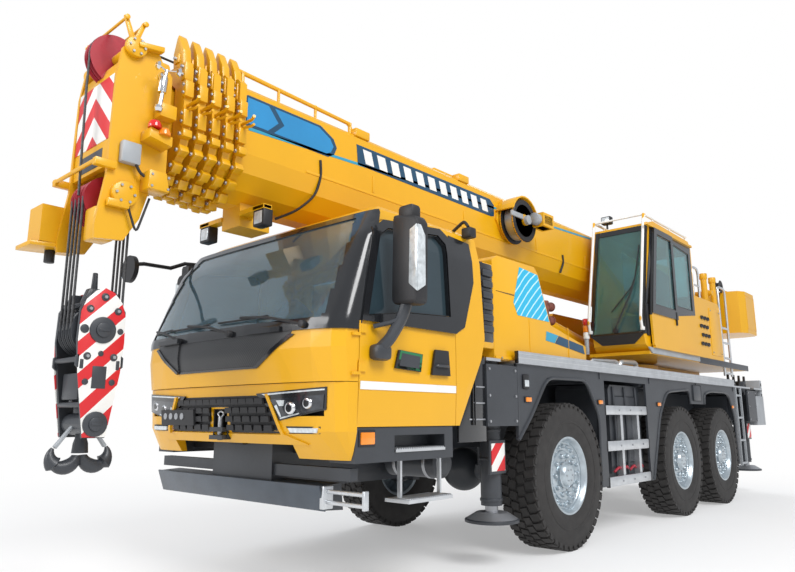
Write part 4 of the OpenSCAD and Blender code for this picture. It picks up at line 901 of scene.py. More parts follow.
for s in (1, -1):
    head.rod((SHEAVE_X, s * 0.295, 3.70), (SHEAVE_X, s * 0.345, 3.70), 0.072, sides=28, bevel=0.008)
    head.slab([(5.40, 3.73), (5.58, 3.70), (5.585, 3.735), (5.40, 3.77)], "y", about(s * 0.33, 0.03), 0.006)
    head.slab([(5.57, 3.74), (5.61, 3.74), (5.672, 3.912), (5.648, 3.918)], "y", about(s * 0.285, 0.011),
              0.004)
    head.slab([(5.57, 3.74), (5.61, 3.74), (5.542, 3.920), (5.516, 3.914)], "y", about(s * 0.285, 0.011),
              0.004)
    head.rod((SHEAVE_X, s * 0.295, 2.65), (SHEAVE_X, s * 0.345, 2.65), 0.085, sides=28, bevel=0.008)
    head.box((5.56, 5.70), about(s * 0.33, 0.02), (2.55, 2.60), 0.006)
    for x, z in ((5.6607, 3.9052), (5.5265, 3.9075)):
        head.rod((x, s * 0.30, z), (x, s * 0.318, z), 0.018, bevel=0.003)
head.rod((5.79, -0.33, 2.83), (5.79, 0.33, 2.83), 0.014)
for width in ((-0.34, -0.29), (0.29, 0.34)):
    head.box((5.66, 5.80), width, (2.80, 2.85), 0.006)
head.slab([(5.33, 2.70), (5.48, 2.70), (5.48, 2.83), (5.36, 2.83)], "y", (0.30, 0.43), 0.006)
head.slab([(5.50, 3.05), (5.34, 3.02), (5.34, 3.09), (5.50, 3.12)], "y", (0.30, 0.44), 0.004)
head.slab([(5.30, 3.24), (5.42, 3.24), (5.42, 3.34), (5.30, 3.34)], "y", (0.30, 0.40), 0.006)
head.box((5.62, 5.86), (-0.52, -0.30), (2.40, 2.66), 0.008)
head.slab([(5.55, 2.38), (5.92, 2.36), (5.92, 2.39), (5.55, 2.41)], "y", (-0.55, -0.29), 0.004)
head.box((5.60, 5.74), (0.10, 0.26), (2.34, 2.56), 0.02)
head.use(black_plastic)
head.rod((5.74, -0.42, 2.28), (5.74, -0.42, 2.37), 0.035, bevel=0.005)
head.tube([(5.54, 0.345, 2.87), (5.50, 0.35, 2.80), (5.40, 0.37, 2.78)], 0.010, 0.04)
head.tube([(5.60, 0.335, 2.66), (5.50, 0.34, 2.40), (5.42, 0.33, 2.66)], 0.008, 0.05)
head.use(paint_grey)
head.box((5.51, 5.64), (0.30, 0.36), (2.86, 3.01), 0.012)
LAMP_DOME = [(0.0, 0.05), (0.035, 0.045), (0.045, 0.02), (0.045, 0.0), (0.0, 0.0)]
for lens, place in ((red_lens, (5.47, 0.43, 3.12)), (amber, (5.40, 0.43, 3.085))):
    head.use(lens)
    head.turned(LAMP_DOME, place, "z", 20)
head.use(steel)
head.bolts([(x, 0.345, z) for x, z in ((5.345, 2.80), (5.46, 2.80), (5.345, 2.72), (5.46, 2.72))],
           (0, 1, 0), 0.01, 0.09)
head.bolts([(SHEAVE_X + u, 0.343, 2.65 + w) for u, w in ring_points(6, 0.06)], (0, 1, 0), 0.010, 0.012)
head.bolts([(SHEAVE_X + u, 0.343, 3.70 + w) for u, w in ring_points(6, 0.052)], (0, 1, 0), 0.010, 0.012)
head.use(chrome)
head.rod((5.43, 0.40, 3.30), (5.40, 0.40, 3.58), 0.014)
head.rod((5.425, 0.40, 3.40), (5.415, 0.40, 3.52), 0.03, bevel=0.006)
for u, w in ring_points(3, 0.085, 0.2):
    head.rod((5.40, 0.40, 3.575), (5.40 + u, 0.40 + w, 3.575), 0.006, sides=8)
    head.turned([(0.0, 0.02), (0.02, 0.016), (0.034, 0.0), (0.032, 0.0), (0.018, 0.012), (0.0, 0.016)],
                (5.40 + u, 0.40 + w, 3.57), "x", 16)
head.turned([(0.0, 0.03), (0.022, 0.022), (0.03, 0.0), (0.022, -0.022), (0.0, -0.03)], (5.45, 0.42, 3.27),
            "z", 20)
head.done("boom_head")

# %% [markdown]
# The hoist rope leaves the winch drum, runs along the boom's top and over the head sheave.
# It lengthens as the boom telescopes; the short pieces between two collars and the piece
# behind the boom's tail ride no body and stay where they are built.
# %% Hoist rope on the boom
ROPE_Y, ROPE_Z, ROPE_R = 0.028, 3.883, 0.009
run_rope = Piece("rope_on_base", wire)
run_rope.tube([(-3.95, ROPE_Y, ROPE_Z), (0.0, ROPE_Y, ROPE_Z), (4.79, ROPE_Y, ROPE_Z)], ROPE_R, sides=8)
run_rope.done("boom_base", slot="rope")
for n in range(5):
    start, end = (4.79 + PITCH * n, ROPE_Y, ROPE_Z), (4.79 + PITCH * (n + 1), ROPE_Y, ROPE_Z)
    bit = Piece(f"rope_between_{n + 1}", wire)
    bit.tube([Vector(start).lerp(Vector(end), t / 10) for t in range(11)], ROPE_R, sides=8)
    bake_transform(bit.done(None))
top_rope = Piece("rope_over_head", wire)
arc = [(SHEAVE_X + 0.185 * cos(radians(a)), ROPE_Y, 3.70 + 0.185 * sin(radians(a)))
       for a in range(90, -1, -15)]
top_rope.tube([(5.34, ROPE_Y, ROPE_Z)] + arc + [(5.775, ROPE_Y, 3.4), (5.768, 0.05, 2.66)], ROPE_R, 0.01, 8)
top_rope.done("boom_head", slot="rope")
tail_points = [(-3.95, ROPE_Y, ROPE_Z), (-4.10, ROPE_Y, ROPE_Z - 0.01), (-4.22, ROPE_Y, ROPE_Z - 0.12),
               (-4.50, ROPE_Y, 2.44)]
tail_rope = Piece("rope_to_drum", wire)
tail_rope.tube(tail_points, ROPE_R, 0.12, 8)
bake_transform(tail_rope.done(None))

# %% [markdown]
# The hook block: two striped side plates over black cheeks, sheave covers, and a forged
# double hook with sprung latches on a swivel.
# %% Hook block and double hook
block = Piece("hook_block_plates", warning_side, paint_dark, steel)
PLATE = [(-0.148, 1.70), (-0.143, 1.88), (-0.115, 1.96), (-0.06, 2.02), (0.0, 2.045), (0.06, 2.02),
         (0.115, 1.96), (0.143, 1.88), (0.148, 1.70), (0.135, 1.50), (0.072, 1.10), (-0.072, 1.10),
         (-0.135, 1.50)]
STUDS = [(-0.09, 1.90, 0.024), (0.09, 1.90, 0.024), (0.0, 1.985, 0.026), (-0.115, 1.77, 0.02),
         (0.115, 1.77, 0.028), (-0.085, 1.60, 0.024), (0.085, 1.60, 0.024), (-0.085, 1.44, 0.02),
         (0.085, 1.44, 0.02), (0.0, 1.62, 0.018)]
STUD_BOLTS = [(-0.09, 1.90), (0.09, 1.90), (0, 1.985), (-0.085, 1.60), (0.085, 1.60)]
for s in (1, -1):
    block.use(warning_side)
    block.slab([(SHEAVE_X + u, v) for u, v in PLATE], "y", (s * 0.175, s * 0.182), 0.002)
    block.use(paint_dark)
    for v, r in ((1.77, 0.085), (1.18, 0.078)):
        block.rod((SHEAVE_X, s * 0.17, v), (SHEAVE_X, s * 0.19, v), r, sides=36, bevel=0.003)
        block.rod((SHEAVE_X, s * 0.185, v), (SHEAVE_X, s * 0.202, v), r * 0.55, sides=28, bevel=0.004)
        block.box(about(SHEAVE_X, r * 0.4), about(s * 0.202, 0.004), about(v, 0.008), 0.001)
    block.box((5.545, 5.635), about(s * 0.178, 0.006), (1.40, 1.54), 0.002)
    for u, v, r in STUDS:
        block.rod((SHEAVE_X + u, s * 0.17, v), (SHEAVE_X + u, s * 0.1865, v), r, sides=20, bevel=0.002)
    for u in (-0.115, 0.115):
        block.box(about(SHEAVE_X + u, 0.012), about(s * 0.18, 0.005), (1.52, 1.58), 0.004)
    for u in (-0.13, 0.13):
        block.slab([(SHEAVE_X + u, 1.62), (SHEAVE_X + u * 1.16, 1.60), (SHEAVE_X + u * 1.16, 1.54),
                    (SHEAVE_X + u, 1.52)], "y", about(s * 0.172, 0.01), 0.003)
    block.use(steel)
    block.bolts([(SHEAVE_X + u, s * 0.186, v) for u, v in STUD_BOLTS], (0, s, 0), 0.012, 0.012)
block.use(paint_dark)
for u, z in ((-0.11, 1.93), (0.11, 1.93), (-0.13, 1.58), (0.13, 1.58), (-0.085, 1.30), (0.085, 1.30)):
    block.rod((SHEAVE_X + u, -0.17, z), (SHEAVE_X + u, 0.17, z), 0.018, bevel=0.002)
block.slab([(5.50, 1.93), (5.68, 1.93), (5.63, 2.06), (5.55, 2.06)], "y", (-0.03, 0.03), 0.006)
block.rod((SHEAVE_X, 0, 2.05), (SHEAVE_X, 0, 2.17), 0.022, 0.016, bevel=0.004)
block.box((5.49, 5.69), (-0.12, 0.12), (1.33, 1.50), 0.012)
block.use(steel)
block.bolts([(SHEAVE_X + u, y, 1.305) for u in (-0.05, 0.05) for y in (-0.08, 0.08)], (0, 0, 1), 0.014,
            0.03)
block.done("hook_block")


def horn_radius(t):
    """The horn swells at its seat and thins to its tip; t runs from 0 at the shank to 1."""
    if t < 0.62:
        return 0.034 + 0.020 * sin(pi * min(1, t * 1.6))
    return 0.0525 * (1 - (t - 0.62) / 0.38) + 0.013


hook = Piece("double_hook_forging", paint_dark, paint_grey)
hook.turned([(0.0, 1.02), (0.05, 1.00), (0.045, 1.06), (0.036, 1.09), (0.036, 1.24), (0.058, 1.25),
             (0.06, 1.30), (0.03, 1.31), (0.0, 1.31)], (SHEAVE_X, 0, 0), "z", 28)
for s in (1, -1):
    centre = Vector((SHEAVE_X + s * 0.1, 0, 0.995))
    rings = []
    for i in range(20):
        t = i / 19
        a = radians(185 + 205 * t)
        r = horn_radius(t)
        reach = 0.082 - 0.004 * t
        verts = bmesh.ops.create_circle(hook.bm, cap_ends=i in (0, 19), segments=14, radius=1.0)["verts"]
        fit = Matrix.Diagonal((r * 0.85, r * 0.72, 1, 1))
        at = centre + Vector((s * reach * cos(a), 0, reach * sin(a)))
        hook.mark(verts, Matrix.Translation(at) @ Matrix.Rotation(-s * (a + pi / 2) + pi / 2, 4, "Y") @ fit)
        rings.append(verts)
    hook.skin(rings)
    hook.use(paint_grey)
    hook.slab([(SHEAVE_X + s * 0.028, 1.20), (SHEAVE_X + s * 0.045, 1.20), (SHEAVE_X + s * 0.165, 1.045),
               (SHEAVE_X + s * 0.150, 1.03)], "y", (-0.018, 0.018), 0.003)
    hook.rod((SHEAVE_X + s * 0.035, -0.03, 1.19), (SHEAVE_X + s * 0.035, 0.03, 1.19), 0.014)
    hook.use(paint_dark)
hook.done("double_hook", "double_hook", angle=50)

# %% [markdown]
# The upper structure: the operator's cab with its dark-framed curved glass, white
# handrails, the service housings, the winch posts and the cast counterweight.
# %% Operator's cab glass and fittings
OPCAB_Y = 1.253


def opcab_front(y, z, out=0.0):
    """Point on the front window, which leans back above the knee and forward below it."""
    return Vector((-0.62 - max(0.0, z - 2.25) * 0.34 / 1.48 - max(0.0, 2.25 - z) * 0.28 + out, y, z))


def opcab_side(x, z, out=0.0):
    """Point on the flat left wall."""
    return Vector((x, OPCAB_Y + out, z))


def opcab_corner(x, z, out=0.0):
    """Point on the front pillar, where the left wall turns inwards."""
    return Vector((x, 1.26 - max(0.0, x + 0.9) * 0.06 / 0.34 + out, z))


def opdoor_side(x, z, out=0.0):
    """Point on the sliding door, which runs outside the wall."""
    return Vector((x, 1.290 + out, z))


tint_teal = tinted.copy()
tint_teal.name = "teal_glass"
tint_teal_ramp = tint_teal.node_tree.nodes["Color Ramp"].color_ramp
for element, color in zip(tint_teal_ramp.elements, ((0.16, 0.36, 0.38, 1), (0.30, 0.58, 0.60, 1))):
    element.color = color
FRONT_GLASS = [(0.565, 2.27), (1.195, 2.27), (1.195, 3.63), (0.565, 3.63)]
FRONT_FRAME = [(0.515, 2.235), (1.235, 2.235), (1.235, 3.70), (0.515, 3.70)]
REAR_SIDE_GLASS = [(-2.37, 2.71), (-1.73, 2.71), (-1.73, 3.59), (-2.37, 3.55)]
REAR_SIDE_FRAME = [(-2.46, 2.66), (-1.64, 2.56), (-1.64, 3.69), (-2.46, 3.66)]
DOOR_PANE = [(-1.56, 2.62), (-0.86, 2.62), (-1.08, 3.58), (-1.56, 3.58)]
DOOR_PANE_FRAME = [(-1.64, 2.50), (-0.748, 2.50), (-1.003, 3.658), (-1.64, 3.658)]

panes = Piece("operator_cab_glass", tint_teal)
bent_sheet(panes, FRONT_GLASS, 8, 10, -0.004, 0.006, opcab_front)
bent_sheet(panes, REAR_SIDE_GLASS, 2, 2, -0.012, 0.006, opcab_side)
panes.box((-2.492, -2.484), (0.58, 1.18), (2.8, 3.56), 0.002)
panes.slab(REAR_SIDE_GLASS, "y", (0.512, 0.52), 0)
panes.done("turntable", "operator_glass")

cabin = Piece("operator_cab_fittings", trim_black, white_paint, black_plastic, rib_shade_stripes, lamp_glass,
              paint_grey, red_lens, amber, alloy)
window_frame(cabin, FRONT_FRAME, FRONT_GLASS, opcab_front)
window_frame(cabin, REAR_SIDE_FRAME, REAR_SIDE_GLASS, opcab_side, 0.004, 0.002)
window_lining(cabin, inset(REAR_SIDE_GLASS, 0.008), opcab_side, 0.005, 0.050)
bent_sheet(cabin, [(-0.83, 2.24), (-0.617, 2.24), (-0.955, 3.70), (-1.09, 3.70)], 6, 16, 0.006, 0.002,
           opcab_corner)
bent_sheet(cabin, [(-1.66, 2.58), (-1.60, 2.58), (-1.60, 3.69), (-1.66, 3.69)], 1, 2, 0.004, 0.002,
           opcab_side)
# the panel with ribs under the front window: a flat sheet, its ribs painted as stripes of light and shade
cabin.use(rib_shade_stripes)
bent_sheet(cabin, [(0.66, 2.12), (1.08, 2.12), (1.235, 2.245), (0.515, 2.245)], 6, 4, 0.006, 0.012,
           opcab_front)
cabin.use(black_plastic)
wipe = [opcab_front(0.86, 2.30, 0.01), opcab_front(0.88, 2.34, 0.05), opcab_front(1.06, 2.78, 0.045),
        opcab_front(1.09, 2.95, 0.03)]
cabin.tube(wipe, 0.012, 0.05)
cabin.tube([opcab_front(0.80, 2.55, 0.018), opcab_front(1.09, 2.90, 0.018), opcab_front(1.14, 3.42, 0.018)],
           0.009, 0.1, 6)
cabin.rod(opcab_front(0.86, 2.30, -0.01), opcab_front(0.86, 2.30, 0.03), 0.035, bevel=0.006)
cabin.box((-0.76, -0.70), (1.20, 1.25), (2.22, 2.62), 0.01)
cabin.use(white_paint)
for y in (1.215, 0.53):
    cabin.tube([(-0.59, y, 2.30), (-0.56, y, 2.42), (-0.89, y, 3.83), (-2.44, y, 3.83), (-2.44, y, 3.74)],
               0.018, 0.08)
    cabin.box((-0.642, -0.572), about(y, 0.017), (2.278, 2.322), 0.004)
    for x in (-1.2, -1.8):
        cabin.rod((x, y, 3.755), (x, y, 3.83), 0.012)
cabin.tube([(-0.90, 0.53, 3.83), (-0.90, 1.215, 3.83)], 0.014)
cabin.use(alloy)
cabin.tube([(-2.60, 1.215, 2.03), (-2.60, 1.215, 3.42), (-2.86, 1.215, 3.42), (-2.86, 1.215, 2.97)], 0.018,
           0.1)
cabin.tube([(-2.60, 1.215, 3.15), (-2.86, 1.215, 3.15)], 0.014)
for x in (-3.74, -4.10):
    cabin.rod((x, 1.22, 1.858), (x, 1.22, 2.992), 0.0195)
for z in (1.90, 2.14, 2.38, 2.62):
    cabin.rod((-4.10, 1.22, z), (-3.74, 1.22, z), 0.0175)
cabin.tube([(-3.74, 1.22, 2.98), (-3.74, 1.22, 3.28), (-4.10, 1.22, 3.28), (-4.10, 1.22, 2.98)], 0.0195,
           0.1)
cabin.use(black_plastic)
cabin.tube([(-1.02, 0.66, 3.76), (-1.02, 0.66, 3.84)], 0.014)
cabin.box((-1.07, -0.97), (0.59, 0.73), (3.82, 3.93), 0.018)
cabin.use(lamp_glass)
cabin.box((-0.975, -0.965), (0.605, 0.715), (3.835, 3.915), 0.006)
for z, mat in ((2.40, red_lens), (2.31, amber), (2.22, white_paint)):
    cabin.use(mat)
    cabin.rod((-0.60, 0.47, z), (-0.60, 0.47, z + 0.086), 0.04, sides=24, bevel=0.006)
cabin.use(paint_grey)
cabin.rod((-0.60, 0.47, 2.02), (-0.60, 0.47, 2.22), 0.028, bevel=0.004)
cabin.slab([(-2.50, 2.00), (-0.76, 2.00), (-0.66, 2.06), (-0.66, 2.075), (-2.50, 2.075)], "y",
           (1.243, 1.262), 0.004)
cabin.done("turntable")

slide = Piece("operator_door_fittings", trim_black, tint_teal, black_plastic)
window_frame(slide, DOOR_PANE_FRAME, DOOR_PANE, opdoor_side)
window_lining(slide, inset(DOOR_PANE, 0.008), opdoor_side, 0.006, 0.028)
slide.slab([(-0.744, 2.48), (-0.733, 2.48), (-0.991, 3.662), (-1.004, 3.662)], "y", (1.263, 1.296), 0)
slide.use(black_plastic)
slide.box((-1.585, -1.555), (1.288, 1.312), (2.42, 2.60), 0.006)
slide.use(tint_teal)
slide.slab(DOOR_PANE, "y", (1.280, 1.286), 0)
slide.done("operator_door")

# %% [markdown]
# Behind the operator's cab stand the housings, with rows of punched openings, and the posts
# beside the winch, with their hoses. The counterweight closes the tail and carries bolt heads.
# %% Housings, winch posts, counterweight
upper = Piece("upper_structure_fittings", paint_dark, paint_yellow, black_plastic, steel, red_lens, wire)
upper.box((-4.95, -2.52), (1.236, 1.252), (1.985, 2.075), 0.004)
# the punched openings are not cut: each is a dark pad on the wall, painted shade for the dark inside the
# opening
for row in range(4):
    for col in range(3):
        x, z = -2.72 - col * 0.13 - (row % 2) * 0.05, 2.28 + row * 0.13
        upper.box(about(x, 0.045), (1.236, 1.246), about(z, 0.026), 0.024)
upper.use(paint_yellow)
upper.box((-3.62, -3.14), (1.236, 1.248), (2.14, 2.86), 0.006)
for x in (-4.15, -4.60):
    upper.rod((x, 0.9, 3.50), (x, 0.9, 3.60), 0.062, sides=28, bevel=0.01)
    upper.rod((x, 0.9, 2.03), (x, 0.9, 2.09), 0.085, sides=28, bevel=0.008)
for z in (2.85, 3.1, 3.3):
    upper.tube([(-4.15, 0.9, z), (-4.38, 0.86, z + 0.06), (-4.60, 0.9, z)], 0.022)
upper.box((-4.50, -4.24), (0.80, 0.96), (2.60, 2.84), 0.02)
upper.rod((-4.30, 0.62, 3.28), (-4.30, 0.98, 3.28), 0.05, bevel=0.006)
for span, height in (((-5.62, -5.10), (3.30, 3.315)), ((-5.62, -5.10), (2.72, 2.735)),
                     ((-5.62, -5.605), (2.72, 3.315)), ((-5.115, -5.10), (2.72, 3.315))):
    upper.box(span, (1.272, 1.280), height, 0.003)
upper.use(black_plastic)
upper.turned([(0.03, -0.05), (0.11, -0.05), (0.115, -0.04), (0.075, -0.03), (0.075, 0.03), (0.115, 0.04),
              (0.11, 0.05), (0.03, 0.05)], (-4.86, 0.92, 3.47), steps=32)
upper.tube([(-4.86, 0.92, 3.36), (-4.80, 0.90, 3.0), (-4.62, 0.86, 2.8)], 0.014, 0.1)
for y in (0.62, 0.68, 0.74):
    upper.tube([(-4.2, y, 2.70), (-4.5, y, 2.95), (-4.75, y, 2.80), (-4.80, y, 2.66)], 0.013, 0.1)
upper.use(steel)
upper.bolts([(x, 1.246, z) for x in (-3.58, -3.18) for z in (2.18, 2.82)], (0, 1, 0), 0.012, 0.012)
upper.bolts([(-5.36, y, 3.375) for y in (-0.8, 0.8, -0.4, 0.4)], (0, 0, 1), 0.03, 0.03)
upper.use(wire)
wound_rope = [(0.178 + 0.008 * (i % 2), -0.27 + i * 0.0135) for i in range(1, 40)]
upper.turned([(0.171, -0.27)] + wound_rope + [(0.171, 0.27)], (-4.72, 0, 2.33), steps=36)
upper.use(red_lens)
for y in (-1.05, 1.05):
    upper.box((-5.797, -5.786), about(y * 0.9, 0.05), (2.75, 2.85), 0.004)
upper.done("turntable")

# %% [markdown]
# The carrier's sides: dark pressed skirts with raised lips round the arches, an aluminium
# deck rail, tanks under aluminium guard bars, and the engine cover with its air intake.
# %% Engine cover, deck and skirt fittings
ripple = finish("ripple", (0.03, 0.46, 0.68), 0.35, tone=0.05)
ripple_nodes = ripple.node_tree.nodes
waves = add_node(ripple, "TexWave", Scale=4.5, Distortion=1.2,
                 Vector=ripple_nodes["Texture Coordinate"].outputs["Object"])
waves.wave_type, waves.rings_direction = "RINGS", "Y"
wave_tone = add_node(ripple, "ValToRGB", Fac=waves.outputs["Fac"])
wave_tone.color_ramp.elements[0].color = (0.55, 0.80, 0.88, 1)
wave_tone.color_ramp.elements[1].position = 0.16
wave_tone.color_ramp.elements[1].color = (0.02, 0.42, 0.66, 1)
set_inputs(ripple, ripple_nodes["Principled BSDF"], Base_Color=wave_tone.outputs["Color"])
rust = finish("rust", (0.16, 0.045, 0.03), 0.7, tone=0.35, spots=25, bump=0.15)

COVER_SIDE = (1.1995, 1.203)
cover = Piece("engine_cover_fittings", ripple, band_blue, band_cyan, trim_black, paint_dark, paint_yellow,
              steel)
cover.slab([(2.198, 2.60), (1.873, 2.575), (1.681, 2.137), (2.254, 2.141), (2.318, 2.249)], "y", COVER_SIDE,
           0)
cover.use(band_blue)
cover.slab([(1.58, 1.935), (1.50, 2.015), (0.99, 1.955), (0.96, 1.87)], "y", COVER_SIDE, 0)
cover.use(band_cyan)
cover.slab([(1.76, 1.95), (1.74, 2.04), (1.51, 2.017), (1.59, 1.936)], "y", COVER_SIDE, 0)
cover.use(trim_black)
cover.box((2.642, 2.858), (0.945, 1.206), (1.836, 2.556), 0.03)
cover.use(paint_dark)
for i in range(6):
    z = 1.93 + i * 0.098
    cover.box((2.672, 2.828), (1.195, 1.228), (z, z + 0.068), 0.02)
cover.use(paint_yellow)
cover.slab([(0.915, 1.72), (2.64, 1.72), (2.64, 1.745), (0.915, 1.745)], "y", (1.198, 1.210), 0.003)
for x in (1.30, 2.05):
    cover.slab([(x, 1.76), (x + 0.008, 1.76), (x + 0.008, 2.12), (x, 2.12)], "y", (1.198, 1.204), 0)
cover.use(steel)
cover.bolts([(x, 1.209, 1.732) for x in (1.0, 1.4, 1.8, 2.2, 2.55)], (0, 1, 0), 0.01, 0.008)
cover.mirror()
cover.done("carrier")

cowl = Piece("engine_cowl", paint_yellow, trim_black)
COWL_SIDE = [(0.915, 1.709), (0.915, 1.960), (1.640, 2.110), (1.860, 2.600), (1.920, 2.650), (2.560, 2.650),
             (2.648, 2.600), (2.648, 1.709)]
cowl.slab(COWL_SIDE, "y", (-1.200, 1.200), 0.012)
for side in (-1, 1):
    cowl.slab([(2.649, 1.80), (2.850, 1.80), (2.850, 2.48), (2.800, 2.55), (2.649, 2.55)], "y",
              tuple(sorted((side * 0.95, side * 1.20))), 0.008)
cowl.use(trim_black)
for side in (-1, 1):
    for corner in ((1.90, 2.30), (2.30, 2.32)):
        cowl.slab([corner, (2.600, 2.320), (2.600, 2.324), (corner[0], corner[1] + 0.004)], "y",
                  tuple(sorted((side * 1.199, side * 1.2015))), 0)
cowl.done("carrier", "engine_cover")

pipes = Piece("exhaust_outlets", rust, alloy, paint_yellow)
pipes.rod((1.22, 0.90, 2.00), (1.22, 0.90, 2.44), 0.045, sides=24, bevel=0.006)
for z in (2.24, 2.39):
    pipes.turned([(0.028, -0.10), (0.046, -0.10), (0.046, 0.0), (0.051, 0.0), (0.051, 0.018),
                  (0.038, 0.020), (0.034, -0.06)], (1.10, 0.90, z), "x", 28, -1)
pipes.use(paint_yellow)
pipes.box((1.30, 1.50), (0.62, 0.90), (2.02, 2.44), 0.02)
pipes.use(alloy)
pipes.tube([(0.45, 1.02, 1.715), (0.45, 1.02, 1.85), (-0.25, 1.02, 1.88), (-0.25, 1.02, 1.72)], 0.022, 0.08)
pipes.tube([(-0.35, 1.0, 1.715), (-0.35, 1.0, 1.88), (-0.80, 1.02, 1.90), (-0.85, 1.0, 1.72)], 0.030, 0.08)
pipes.tube([(0.10, 0.90, 1.72), (0.10, 0.92, 1.84), (-0.30, 0.92, 1.86), (-0.62, 0.95, 1.80)], 0.026, 0.08)
pipes.done("carrier")

sides = Piece("skirt_fittings", paint_dark, amber, alloy, black_plastic, steel, trim_black, paint_red,
              lamp_glass)
ARCHES = [[(2.38, 1.03), (2.15, 1.24), (1.85, 1.585), (1.06, 1.595), (0.80, 1.24), (0.83, 0.53)],
          [(-0.555, 0.51), (-0.875, 1.25), (-1.135, 1.535), (-1.95, 1.59), (-1.99, 1.40)],
          [(-2.56, 1.40), (-2.59, 1.55), (-2.85, 1.59), (-3.50, 1.59), (-3.70, 1.56), (-3.90, 1.24),
           (-3.93, 0.52)]]
for arch in ARCHES:
    sides.tube([(x, 1.247, z) for x, z in arch], 0.016, 0.12, 8)
for x in (2.212, 0.768, -0.844, -3.84):
    sides.use(black_plastic)
    sides.box(about(x, 0.055), (1.243, 1.256), (1.35, 1.405), 0.006)
    sides.use(amber)
    sides.box(about(x, 0.045), (1.252, 1.268), (1.357, 1.398), 0.008)
sides.use(black_plastic)
sides.box((2.19, 2.29), (1.243, 1.262), (1.47, 1.60), 0.012)
sides.use(lamp_glass)
sides.box((2.205, 2.275), (1.258, 1.268), (1.49, 1.55), 0.008)
sides.use(paint_dark)
sides.slab([(2.36, 1.06), (2.375, 1.06), (2.375, 1.68), (2.36, 1.68)], "y", (1.243, 1.250), 0.002)
for x in (0.72, -0.62, -2.27, -3.98):
    sides.slab([(x, 1.62), (x + 0.03, 1.62), (x + 0.03, 1.685), (x, 1.685)], "y", (1.243, 1.254), 0.003)
sides.box((-2.42, -2.10), (1.243, 1.262), (1.44, 1.66), 0.02)
for x in (-0.36, -0.06, 0.24):
    sides.tube([(x, 1.152, 0.60), (x, 1.168, 1.0), (x, 1.152, 1.56)], 0.02, 0.3, 6)
sides.box((-0.40, 0.26), (1.145, 1.158), (0.72, 1.46), 0.02)
sides.use(alloy)
for low, high in ((0.505, 0.6), (0.87, 0.97), (1.25, 1.345)):
    sides.box((-0.475, 0.635), (1.214, 1.248), (low - 0.003, high + 0.003), 0.014)
    sides.use(black_plastic)
    sides.box((-0.49, -0.465), (1.212, 1.250), (low - 0.006, high + 0.006), 0.006)
    sides.box((0.625, 0.65), (1.212, 1.250), (low - 0.006, high + 0.006), 0.006)
    sides.use(alloy)
for groove in ((1.735, 1.755), (1.775, 1.790)):
    sides.box((-3.97, 2.39), (1.274, 1.279), groove, 0.002)
sides.use(trim_black)
sides.box((2.385, 2.40), (1.243, 1.279), (1.69, 1.80), 0.004)
sides.slab([(3.235, 1.165), (2.945, 1.66), (2.86, 1.72), (2.86, 1.03), (3.235, 1.03)], "y", (1.225, 1.243),
           0.004)
sides.use(steel)
for k in range(3):
    z = 1.20 + k * 0.13
    sides.slab([(2.88, z), (3.10 - k * 0.05, z), (3.10 - k * 0.05, z + 0.012), (2.88, z + 0.012)], "y",
               (1.24, 1.25), 0.002)
sides.use(alloy)
for z, x0, x1 in ((1.006, 3.425, 3.975), (0.656, 3.34, 3.84)):
    for i in range(22):
        x = x0 + 0.02 + i * (x1 - x0 - 0.04) / 21
        sides.box(about(x, 0.006), (1.10, 1.253), (z - 0.002, z + 0.008), 0.002)
sides.use(steel)
for x in (-0.30, 0.0, 0.3):
    sides.bolts([(x, 1.246, 0.55), (x, 1.246, 0.92), (x, 1.246, 1.30)], (0, 1, 0), 0.011, 0.01)
sides.use(paint_red)
for i in range(4):
    sides.tube([(-0.42 + i * 0.2, 1.17, 0.66), (-0.34 + i * 0.2, 1.19, 0.69),
                (-0.26 + i * 0.2, 1.17, 0.64)], 0.014, 0.05)
sides.mirror()
sides.use(black_plastic)
for x in (-4.45, -4.75, -5.05, -5.35):
    for y in (1.08, -1.08):
        sides.slab([(x, 1.71), (x + 0.16, 1.71), (x + 0.12, 1.80), (x + 0.10, 1.92), (x + 0.06, 1.92),
                    (x + 0.05, 1.80)], "y", about(y, 0.015), 0.003)
sides.done("carrier")

# %% [markdown]
# The front beam and the tail carry lamps, steps and grilles. Each outrigger shows a striped
# board at its jack, so that nobody drives into it, and spreads its load on a round foot.
# %% Front beam, tail and under-body fittings
ends = Piece("front_and_tail_fittings", front_beam_blue, alloy, steel, paint_grey, red_lens, amber,
             black_plastic, chrome, paint_dark)
ends.slab([(4.338, 0.604), (4.348, 0.604), (4.408, 0.772), (4.396, 0.776)], "y", (-1.15, 0.95), 0.002)
ends.use(alloy)
for z in (0.665, 0.735):
    ends.rod((4.34, 0.93, z), (4.34, 1.33, z), 0.014)
ends.box((4.29, 4.38), (0.93, 0.97), (0.62, 0.77), 0.006)
ends.box((4.32, 4.36), (1.31, 1.335), (0.64, 0.76), 0.004)
ends.use(paint_grey)
ends.box((-5.795, -5.70), (0.745, 1.222), (1.095, 1.865), 0.012)
